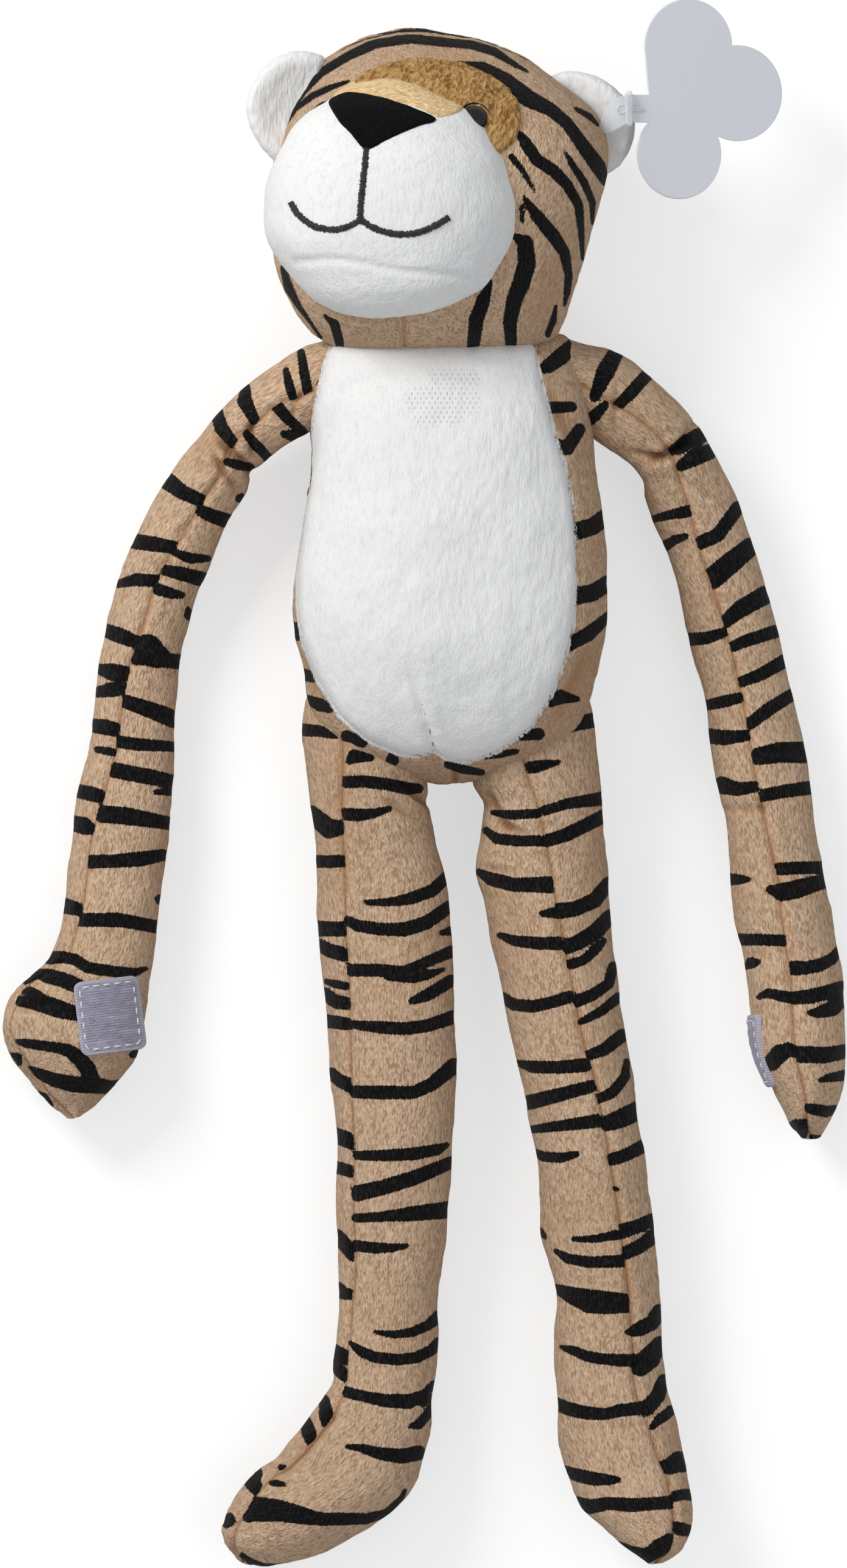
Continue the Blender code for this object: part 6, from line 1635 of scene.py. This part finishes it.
def leg(side: Side) -> Limb:
    """A leg with its foot.

    Args:
        side: Which one.

    Returns:
        The limb.
    """
    if side is Side.LEFT:
        skin = Stuffed(
            LEG_LEFT_RIBS,
            (0, 12, 1, 16, 2, 19.4, 3, 20.5, 6, 19, 10, 19, 14, 18, 18, 17, 21, 18, 25, 19.2, 28, 16, 30, 8),
            (0, 24, 2, 22.6, 4, 20.5, 8, 18.6, 14, 17.4, 18, 16.8, 22, 17.8, 25, 18.8, 30, 18),
            LEG_LEFT_STRIPES, seed=0.41,
            folds=(Fold(-11, -74.5, -38, 8, 1.4, 2.6), Fold(-16, -80, -30, 7, 1.2, 2.0),
                   Fold(-22, -72, -12, 8, 1.2, 1.2), Fold(-47, -291, 46, 14, 2, 1.1),
                   Fold(-40, -281, 20, 6, 1.4, 0.9)),
        )
    else:
        skin = Stuffed(
            LEG_RIGHT_RIBS,
            (0, 12, 1, 16, 2, 19.4, 3, 21, 6, 20, 10, 19, 15, 17.5, 19, 17, 22, 18, 25, 18, 27, 13.5, 28, 7),
            (0, 24, 2, 22.6, 5, 20, 10, 18.6, 15, 17, 19, 17, 22, 21, 25, 30, 28, 38),
            LEG_RIGHT_STRIPES, seed=0.47,
            folds=(Fold(16.4, -81, -62, 8, 1.4, 2.6), Fold(21, -86, -30, 6, 1.3, 2.0),
                   Fold(17, -100, -10, 6, 1.4, 1.1)),
        )
    return Limb(side, "leg_root", (
        ("hip_{}_spread", "hip", 14, 4), ("hip_{}_flex", "thigh", -12, 32), ("knee_{}", "shin", 22, 22),
        ("ankle_{}", "foot", 16, 12),
    ), skin)


@dataclass
class Ear:
    """An ear: a white front and a striped back sewn together at the rim.

    The outline is in plan, in millimetres, and runs once round the ear.
    """

    side: Side
    outline: Numbers
    centre: tuple[float, float]
    level: float
    slope: tuple[float, float]
    bands: Strokes
    half_thick: float = 4.6
    rim: float = 5.5
    dish: float = 2.2

    def half(self, front: bool, grow: float) -> Cloth:
        """Front or back half of the ear.

        Args:
            front: Whether it is the front.
            grow: How far the half reaches past the outline, in millimetres.

        Returns:
            The half's grid.
        """
        line = Patch(self.outline, self.centre, columns=150).edge_line()
        centre = np.array(self.centre)
        share = np.linspace(0.02, 1.0, 30) ** 0.75
        length = np.linalg.norm(line - centre, axis=1)
        plan = centre + (grown(line, centre, grow) - centre)[None] * share[:, None, None]
        rise = dome((1.0 - share)[:, None] * length[None], self.rim) * self.half_thick
        if front:
            rise -= self.dish * np.clip(1.0 - share[:, None] ** 2 * 1.3, 0.0, 1.0)
        points = np.zeros(plan.shape[:2] + (3,))
        points[..., :2] = plan
        lean = (plan - centre) @ np.array(self.slope)
        points[..., 2] = self.level + lean + (rise if front else -rise)
        points *= MM
        cloth = Cloth(points, points + self.level * MM, toward=(0.0, 0.0, 1.0 if front else -1.0))
        cloth.push(lumps(points, 9.0 * MM, 0.3) * 0.5 * MM)
        cloth.fluff(1.2, 2.6, 0.24, 0.6)
        # On the striped back half the rim turns warm and dark: partly opened pile at the seam, partly painted
        # shade.
        cloth.marks["crease"] = np.clip((share[:, None] - 0.9) * 8.0, 0.0, 1.0) * np.ones(length.shape)
        cloth.marks["stripe"] = stroke_distance(points, self.bands)
        return cloth

    def build(self, finishes: Finishes) -> list[Piece]:
        """Build both halves.

        Args:
            finishes: Materials by the record's material slots.

        Returns:
            The two pieces.
        """
        made = []
        side = self.side.value
        for part, slot, grow in (("front", "white_plush", 0.0), ("back", "striped_plush", -0.25)):
            piece = self.half(part == "front", grow).piece(f"{side}_ear_{part}_skin", finishes[slot])
            made.append(hang(piece, f"ear_{side}", (f"ear_{part}_{side}",)))
        return made


@dataclass
class PalmPad:
    """A square of hook-and-loop tape sewn on a palm, with its line of stitches."""

    side: Side
    centre: Place
    across: Place
    along: Place
    half_width: float = 10.7
    half_length: float = 12.2
    corner: float = 2.6
    wall: float = 1.3
    inset: float = 1.9
    stitch: float = 2.5
    gap: float = 0.9
    thread: float = 0.32

    def spots(self, surface: Surface, plan: Array) -> tuple[Array, Array]:
        """Lay places of the pad's own plane on the hand, stiffly.

        Args:
            surface: The hand's skin.
            plan: Places across and along, in millimetres.

        Returns:
            The places in metres and the pad's outward directions.
        """
        across, along = (np.array(axis) / np.linalg.norm(axis) for axis in (self.across, self.along))
        facing = np.cross(across, along)
        middle = np.array(self.centre) * MM
        grid = np.stack(np.meshgrid(np.linspace(-1, 1, 7), np.linspace(-1, 1, 7)), axis=-1).reshape(-1, 2)
        grid = grid * np.array((self.half_width, self.half_length)) * 0.95
        probe = middle + (grid[:, :1] * across + grid[:, 1:] * along) * MM
        hit, _ = surface.landed(probe, tuple(-facing), 0.06)
        rise = (hit - middle) @ facing / MM
        terms = self.terms(grid)
        fitted = np.linalg.lstsq(terms, rise, rcond=None)[0]
        spare = np.percentile(rise - terms @ fitted, 90)
        height = self.terms(plan.reshape(-1, 2)) @ fitted + spare * 0.6
        flat = plan.reshape(-1, 2)
        places = middle + (flat[:, :1] * across + flat[:, 1:] * along + height[:, None] * facing) * MM
        return places.reshape(plan.shape[:-1] + (3,)), np.broadcast_to(facing, plan.shape[:-1] + (3,))

    @staticmethod
    def terms(plan: Array) -> Array:
        """Terms of a gently curved sheet at places of the plane."""
        across, along = plan[:, 0], plan[:, 1]
        return np.stack((np.ones(len(plan)), across, along, across**2, along**2, across * along), axis=1)

    def outline(self, inset: float, count: int) -> Array:
        """Rounded rectangle with evenly spaced points, in millimetres."""
        wide, long = self.half_width - inset, self.half_length - inset
        corner = max(self.corner - inset * 0.5, 0.8)
        points = []
        for number, (sign_a, sign_b) in enumerate(((1, -1), (1, 1), (-1, 1), (-1, -1))):
            for step in range(7):
                turn = math.radians(-90.0 + 90.0 * number + 15.0 * step)
                points.append((sign_a * (wide - corner) + corner * math.cos(turn),
                               sign_b * (long - corner) + corner * math.sin(turn)))
        return evenly(np.array(points), count)

    def build(self, surface: Surface, finishes: Finishes) -> list[Piece]:
        """Build the pad and its stitches.

        Args:
            surface: The hand's skin.
            finishes: Materials by the record's material slots.

        Returns:
            The pad and the stitches.
        """
        line = self.outline(0.0, 160)
        share = np.append(np.linspace(0.03, 0.95, 22), (0.985, 1.0, 1.0, 0.995))
        lift = np.append(np.full(22, 1.0), (0.94, 0.72, 0.1, -0.4)) * self.wall
        plan = line[None] * share[:, None, None]
        spots, facing = self.spots(surface, plan)
        points = spots + facing * (lift * MM)[:, None, None]
        place = on_ground(plan)
        cloth = Cloth(points, place, toward=tuple(facing[0, 0]))
        inside = np.clip((1.0 - share) * 14.0, 0.0, 1.0)[:, None]
        seed = 0.2 if self.side is Side.LEFT else 0.7
        fuzz = lumps(place, (1.1 * MM, 0.5 * MM, MM), seed) * 0.12 + lumps(place, 3.4 * MM, seed) * 0.16
        cloth.push(fuzz * inside * MM)
        cloth.marks["crease"] = np.clip((share - 0.86) * 9.0, 0.0, 1.0)[:, None] * np.ones(len(line))
        side = self.side.value
        pad = cloth.piece(f"closure_pad_{side}", finishes["pad_tape"])
        hang(pad, f"hand_{side}", (f"palm_pad_{side}",))
        return [pad, self.stitches(surface, finishes["thread_pale"])]

    def stitches(self, surface: Surface, finish: Material) -> Piece:
        """Build the line of running stitches.

        Args:
            surface: The hand's skin.
            finish: Material of the thread.

        Returns:
            The stitches as one piece.
        """
        around = self.outline(self.inset, 640)
        length = np.linalg.norm(np.roll(around, -1, axis=0) - around, axis=1).sum()
        count = int(length / (self.stitch + self.gap))
        sides = 6
        points, faces, places = [], [], []
        for number in range(count):
            first = number / count * len(around)
            last = first + self.stitch / (self.stitch + self.gap) / count * len(around)
            steps = np.linspace(first, last, 6)
            plan = np.stack([np.interp(steps, np.arange(len(around)), around[:, axis], period=len(around))
                             for axis in (0, 1)], axis=1)
            spots, facing = self.spots(surface, plan)
            arch = np.sin(np.linspace(0.0, np.pi, 6))
            middle = spots + facing * ((self.wall - 0.25 + 0.4 * arch) * MM)[:, None]
            ahead = np.gradient(middle, axis=0)
            ahead /= np.linalg.norm(ahead, axis=1, keepdims=True)
            beside = np.cross(ahead, facing)
            faces += shifted(quads(len(steps), sides, caps=(True, True)), len(points))
            for row, size in enumerate(self.thread * (0.55 + 0.45 * arch) * MM):
                for turn in turns(sides):
                    way = beside[row] * math.cos(turn) + facing[row] * math.sin(turn)
                    points.append(middle[row] + way * size)
                    places.append((turn * self.thread * MM, row * 0.5 * MM, 0.0))
        side = self.side.value
        piece = linked(f"pad_stitches_{side}", points, faces, finish, outward=False)
        piece.data.shade_smooth()
        Cloth.write(piece, "cloth", np.array(places))
        return hang(piece, f"hand_{side}", (f"pad_stitching_{side}",))


@dataclass
class Tail:
    """The striped tail, folded up under the back."""

    ribs: Numbers
    levels: Numbers
    bands: Strokes

    def build(self, finish: Material) -> Piece:
        """Build the tail.

        Args:
            finish: Material of the striped plush.

        Returns:
            The tail.
        """
        skin = Stuffed(
            self.ribs, (0, 5.2, 8, 5.2, 10, 3.8, 11, 1.6), self.levels, self.bands,
            columns=40, step=1.0, seed=0.66, root_rows=4, tip_rows=6, seam_depth=0.6, lump=0.4, power=2.1,
        )
        piece = skin.cloth().piece("tail_skin", finish, caps=(True, True))
        return hang(piece, "tail", ("tail_cover", "tail_filling"))


@dataclass
class SwingTag:
    """The blank card and the clear clip that holds it in the ear."""

    pin: Place = (62.5, 150.0, 51.0)
    tilt: float = 22.0
    wall: float = 0.9
    lobes: Strokes = (
        (14.3, -14.6, 15.0, -217.0, 23.0), (35.1, 5.4, 15.8, -116.3, 96.9), (17.6, 20.6, 15.6, 2.0, 190.0),
    )
    neck: tuple[float, float] = (3.4, 4.6)
    leaf: Numbers = (
        63.6, 151.2, 61.4, 152.4, 59.4, 154.8, 57.4, 154.3, 55.4, 153.4, 53.2, 151.6, 51.4, 149.4,
        50.2, 146.8, 49.9, 144.4, 50.6, 142.5, 52, 141.8, 54, 142.5, 56.4, 143.7, 58.2, 144.7,
        59.4, 145.4, 61.4, 147.6, 63.6, 148.8,
    )

    def place(self, along: float, aside: float, lift: float) -> Array:
        """Point of the card's own frame, in metres.

        Args:
            along: Distance out from the pin, in millimetres.
            aside: Distance to the side, in millimetres.
            lift: Height over the card's back, in millimetres.

        Returns:
            The point.
        """
        turn = math.radians(self.tilt)
        out = np.array((math.cos(turn), 0.0, -math.sin(turn)))
        facing = np.array((math.sin(turn), 0.0, math.cos(turn)))
        return (np.array(self.pin) + out * along + np.array((0.0, aside, 0.0)) + facing * lift) * MM

    def card(self, finish: Material) -> Piece:
        """Build the card, rounded at its cut edge.

        Args:
            finish: Material of the card.

        Returns:
            The card.
        """
        root, half = self.neck
        points = [(-half, -half), (root, -half)]
        for along, aside, radius, first, last in self.lobes:
            for step in range(29):
                turn = math.radians(first + (last - first) * step / 28)
                points.append((along + math.cos(turn) * radius, aside + math.sin(turn) * radius))
        points += [(root, half), (-half, half)]
        rings = []
        for inset, lift in ((0.3, 0.0), (0.0, 0.3), (0.0, self.wall - 0.3), (0.3, self.wall)):
            near = grown(np.array(points), np.array((16.0, 2.0)), -inset)
            rings.append([self.place(spot[0], spot[1], lift) for spot in near])
        card = linked("swing_tag_card", *self.plates(rings), finish)
        return hang(card, "tag", ("tag_card",))

    @staticmethod
    def plates(*parts: Sequence) -> tuple[list, list]:
        """Flat plates of any outline.

        Args:
            parts: Each plate's outline at every height, from the back to the front.

        Returns:
            Their points and faces.
        """
        points, faces = [], []
        for rings in parts:
            start = len(points)
            points += [point for ring in rings for point in ring]
            faces += shifted(quads(len(rings), len(rings[0])), start)
            for ring, first in ((rings[0], start), (rings[-1], len(points) - len(rings[0]))):
                faces += shifted(tessellate_polygon([[Vector(point) for point in ring]]), first)
        return points, faces

    def clip(self, finish: Material) -> Piece:
        """Build the clear clip: a leaf on the ear, a bar over the card's neck and a small loop.

        Args:
            finish: Material of the clear plastic.

        Returns:
            The clip.
        """
        outline = np.reshape(self.leaf, (-1, 2))
        leaf = [
            [(across * MM, along * MM, (49.6 + min(across - 60.0, 0.0) * 0.25 + lift) * MM)
             for across, along in grown(outline, outline.mean(axis=0), -inset)]
            for inset, lift in ((0.2, 0.0), (0.0, 0.2), (0.0, 0.6), (0.25, 0.85))
        ]
        half_turn = np.linspace(-np.pi, 0.0, 9)
        ends = [(math.cos(turn), math.sin(turn), -4.7) for turn in half_turn]
        ends += [(math.cos(turn), math.sin(turn), 4.7) for turn in half_turn + np.pi]
        bar = [
            [self.place(across * half - 4.1, aside * half + shift, lift) for across, aside, shift in ends]
            for half, lift in ((0.8, 1.15), (1.15, 1.45), (1.15, 2.4), (0.95, 2.9), (0.5, 3.15))
        ]
        corners = ((-4.4, -0.8), (0.2, -0.8), (0.9, 0.0), (0.2, 0.8), (-4.4, 0.8))
        link = [[self.place(along, aside, lift) for along, aside in corners] for lift in (1.2, 1.75)]
        post = [[self.place(math.cos(turn) * 0.7, math.sin(turn) * 0.7, lift) for turn in turns(16)]
                for lift in (-1.0, 1.6)]
        points, faces = self.plates(leaf, bar, link, post)
        start, around, sides = len(points), 24, 8
        for turn in turns(around):
            for wall in turns(sides):
                reach = 1.4 + 0.28 * math.cos(wall)
                points.append(((57.0 + math.cos(turn) * reach) * MM, (149.8 + math.sin(turn) * reach) * MM,
                               (49.9 + 0.28 * math.sin(wall)) * MM))
        for ring in range(around):
            here, there = start + ring * sides, start + (ring + 1) % around * sides
            for spot in range(sides):
                after = (spot + 1) % sides
                faces.append((here + spot, there + spot, there + after, here + after))
        piece = linked("clear_tag_clip", points, faces, finish)
        return hang(piece, "ear_right", ("tag_clip",))


def ears() -> tuple[Ear, Ear]:
    """The two ears, as the photograph shows them past the head.

    Returns:
        The left and the right one.
    """
    left = Ear(
        Side.LEFT,
        (
            -40.6, 167.4, -45.6, 168.6, -51, 168.6, -56.4, 166.6, -61.6, 162.4, -65, 156.4, -66.2, 150, -65.2,
            144.4, -63, 139.8, -60.2, 136, -56.6, 133, -51, 132.4, -46, 137, -43, 144, -41.4, 152, -40, 160,
            -39.6, 165,
        ),
        (-53, 150.5), 52, (-0.22, 0.06),
        (((-44.6, 170.4, 2.4), (-38.4, 168.4, 2.2), (-34.4, 164.6, 1.8)), ((-57, 166, 1.6), (-60, 158, 1.3)),
         ((-66, 152, 1.5), (-56, 154, 2), (-47, 151, 1)), ((-62, 141, 1.6), (-52, 146, 1.8), (-44, 145, 1))),
    )
    right = Ear(
        Side.RIGHT,
        (
            33, 160.4, 38, 162.6, 43, 162.6, 48, 161.4, 52.6, 158.8, 57, 155, 60, 150.6, 61.4, 145.4, 61,
            140.4, 59.2, 135.6, 56.4, 131.6, 52.8, 128.8, 46, 128, 39, 131, 33.6, 138, 31, 148, 31, 156,
        ),
        (46.5, 146), 39.5, (0.08, 0.05),
        (((60, 153, 1.4), (52, 152, 1.8), (44, 150, 1)), ((61, 142, 1.5), (53, 143, 1.8), (45, 140, 1)),
         ((55, 131, 1.3), (49, 134, 1.6), (43, 134, 0.8))),
    )
    return left, right


def tail() -> Tail:
    """The tail, with its route under the left flank.

    Returns:
        The tail.
    """
    route = []
    for step in range(7):
        turn = math.radians(15.0 * step)
        spot = np.array((-42.0 * math.sin(turn), -23.0 - 38.0 * math.cos(turn)))
        ahead = np.array((-42.0 * math.cos(turn), 38.0 * math.sin(turn)))
        route.append((spot, ahead / np.linalg.norm(ahead), 5.3))
    for along, half in ((13.5, 5.3), (27, 5.3), (40.5, 5.0), (49, 3.6), (53.2, 1.4)):
        route.append((np.array((-42.0, -23.0 + along)), np.array((0.0, 1.0)), half))
    ribs = []
    for spot, ahead, half in route:
        side = np.array((-ahead[1], ahead[0])) * half
        ribs.append((*(spot + side), *(spot - side), 0.5))
    bands = tuple(
        (-49.0, along, 1.3, -42.0, along + 1.2, 1.9, -36.0, along, 1.2) for along in (-16, -6, 5, 15, 24, 30)
    )
    bands += ((-8.0, -68.0, 1.4, -7.0, -54.0, 1.6), (-22.0, -62.0, 1.3, -17.0, -51.0, 1.6))
    return Tail(tuple(ribs), (0, 5.4, 9, 5.4, 11, 5.0), bands)


@dataclass
class Studio:
    """Floor, light and camera, straight above the toy as in the photograph."""

    centre: tuple[float, float] = (-7.9 * MM, -71.6 * MM)
    long_side: float = 515.2 * MM
    level: float = 38.0 * MM
    distance: float = 10.0
    sensor: float = 36.0

    def build(self) -> None:
        """Make the floor, the lamps, the world and the camera."""
        bpy.ops.mesh.primitive_plane_add(size=6.0, location=(0.0, 0.0, -0.0007))
        floor = bpy.context.object
        floor.name = "studio_floor"
        made = bpy.data.materials.new("floor_white")
        made.use_nodes = True
        tree = made.node_tree
        tree.nodes.remove(tree.nodes["Principled BSDF"])
        matt = Recipe.node(tree, "ShaderNodeBsdfDiffuse", {}, {"Color": (0.5, 0.5, 0.5)})
        glow = Recipe.node(tree, "ShaderNodeEmission", {}, {"Color": (1.0, 1.0, 1.0), "Strength": 0.6})
        added = Recipe.node(tree, "ShaderNodeAddShader", {}, {0: matt, 1: glow})
        out = tree.nodes["Material Output"]
        both = Recipe.node(tree, "ShaderNodeMixShader", {}, {0: self.seen(tree), 1: matt, 2: added})
        tree.links.new(both.socket, out.inputs["Surface"])
        floor.data.materials.append(made)
        world = bpy.data.worlds.new("studio_world")
        bpy.context.scene.world = world
        world.use_nodes = True
        tree = world.node_tree
        tree.nodes.remove(tree.nodes["Background"])
        dim = Recipe.node(tree, "ShaderNodeBackground", {}, {"Color": (0.95, 0.97, 1.0), "Strength": 0.5})
        plain = Recipe.node(tree, "ShaderNodeBackground", {}, {"Color": (1.0, 1.0, 1.0), "Strength": 1.0})
        both = Recipe.node(tree, "ShaderNodeMixShader", {}, {0: self.seen(tree), 1: dim, 2: plain})
        tree.links.new(both.socket, tree.nodes["World Output"].inputs["Surface"])
        self.lamp("key_light", (-0.85, 0.8, 1.0), 0.6, 15.5, (1.0, 0.99, 0.97))
        self.lamp("fill_light", (0.7, -0.5, 1.3), 0.9, 2.6, (0.97, 0.985, 1.0))
        camera = bpy.data.cameras.new("photo_camera")
        camera.sensor_fit = "AUTO"
        camera.sensor_width = self.sensor
        camera.lens = self.sensor * self.distance / self.long_side
        camera.clip_start = 0.5
        seat = bpy.data.objects.new("photo_camera", camera)
        seat.location = (self.centre[0], self.centre[1], self.level + self.distance)
        bpy.context.scene.collection.objects.link(seat)
        bpy.context.scene.camera = seat

    @staticmethod
    def seen(tree: bpy.types.NodeTree) -> Shade:
        """Rays that show the plain white ground: from the camera, mirrored or through glass.

        Args:
            tree: The node tree.

        Returns:
            1 for those rays.
        """
        kinds = [Recipe.node(tree, "ShaderNodeLightPath", {}, {}, f"Is {kind} Ray")
                 for kind in ("Camera", "Glossy", "Transmission")]
        return (kinds[0] + kinds[1] + kinds[2]).clamped(0.0, 1.0)

    @staticmethod
    def lamp(
        name: str, place: Place, size: float, power: float, colour: tuple
    ) -> None:
        """Make a soft square lamp that faces the toy.

        Args:
            name: The lamp's name.
            place: Where it hangs.
            size: Its side, in metres.
            power: Its power, in watts.
            colour: Its colour.
        """
        light = bpy.data.lights.new(name, "AREA")
        light.size = size
        light.energy = power
        light.color = colour
        lamp = bpy.data.objects.new(name, light)
        lamp.location = place
        way = Vector((0.0, -0.05, 0.03)) - Vector(place)
        lamp.rotation_euler = way.to_track_quat("-Z", "Y").to_euler()
        bpy.context.scene.collection.objects.link(lamp)


def build_neck(finish: Material) -> Piece:
    """Build the gathered dome of cloth that closes the neck between the body and the head.

    Args:
        finish: Material of the striped plush.

    Returns:
        The dome.
    """
    pivot = np.array(joint_place("neck_turn"))
    polar = np.radians(np.linspace(3.0, 58.0, 34))[:, None]
    around = turns(120)[None]
    reach = (31.0 - 0.5 * np.abs(np.sin(around * 9.0))) * MM
    rows = (np.sin(polar) * np.cos(around) * reach, np.cos(polar) * reach, np.sin(polar) * np.sin(around) * reach)
    points = np.stack(rows, axis=-1)
    cloth = Cloth(points + pivot, points, toward=(0.0, 1.0, 0.0))
    cloth.fluff(1.2, 3.0, 0.25, 0.9)
    cloth.marks["stripe"] = np.full(points.shape[:2], FAR)
    # The whole dome turns warm and dark brown: partly the gathered pile's tone, partly painted shade.
    cloth.marks["crease"] = np.full(points.shape[:2], 0.7)
    piece = cloth.piece("neck_gather", finish)
    return hang(piece, "neck", ("neck_seam",))


def main() -> None:
    """Build the toy piece by piece, then its studio, and report each piece."""
    finishes = finishes_by_slot()
    striped = finishes["striped_plush"]
    made = Torso().build(finishes)
    made.append(build_neck(striped))
    made += Head().build(finishes)
    hands = {}
    for side in Side:
        pieces = arm(side).build(striped)
        hands[side] = Surface(pieces[-1], pieces[-2])
        made += pieces
        made += leg(side).build(striped)
    made += PalmPad(Side.LEFT, (-111.0, -147.8, 33.0), (0.99, 0.12, 0.02), (-0.12, 0.99, 0.0)).build(
        hands[Side.LEFT], finishes
    )
    made += PalmPad(Side.RIGHT, (101.5, -159.7, 24.5), (0.0, 0.0, -1.0), (0.156, -0.988, 0.0)).build(
        hands[Side.RIGHT], finishes
    )
    for ear in ears():
        made += ear.build(finishes)
    made.append(tail().build(striped))
    tag = SwingTag()
    made += [tag.card(finishes["card"]), tag.clip(finishes["clear_plastic"])]
    Studio().build()
    for piece in made:
        log.info("%s: %d faces", piece.name, len(piece.data.polygons))
    bpy.context.scene.view_settings.view_transform = "Standard"


if __name__ == "__main__":
    logging.basicConfig(level=logging.INFO, format="%(name)s %(message)s")
    main()
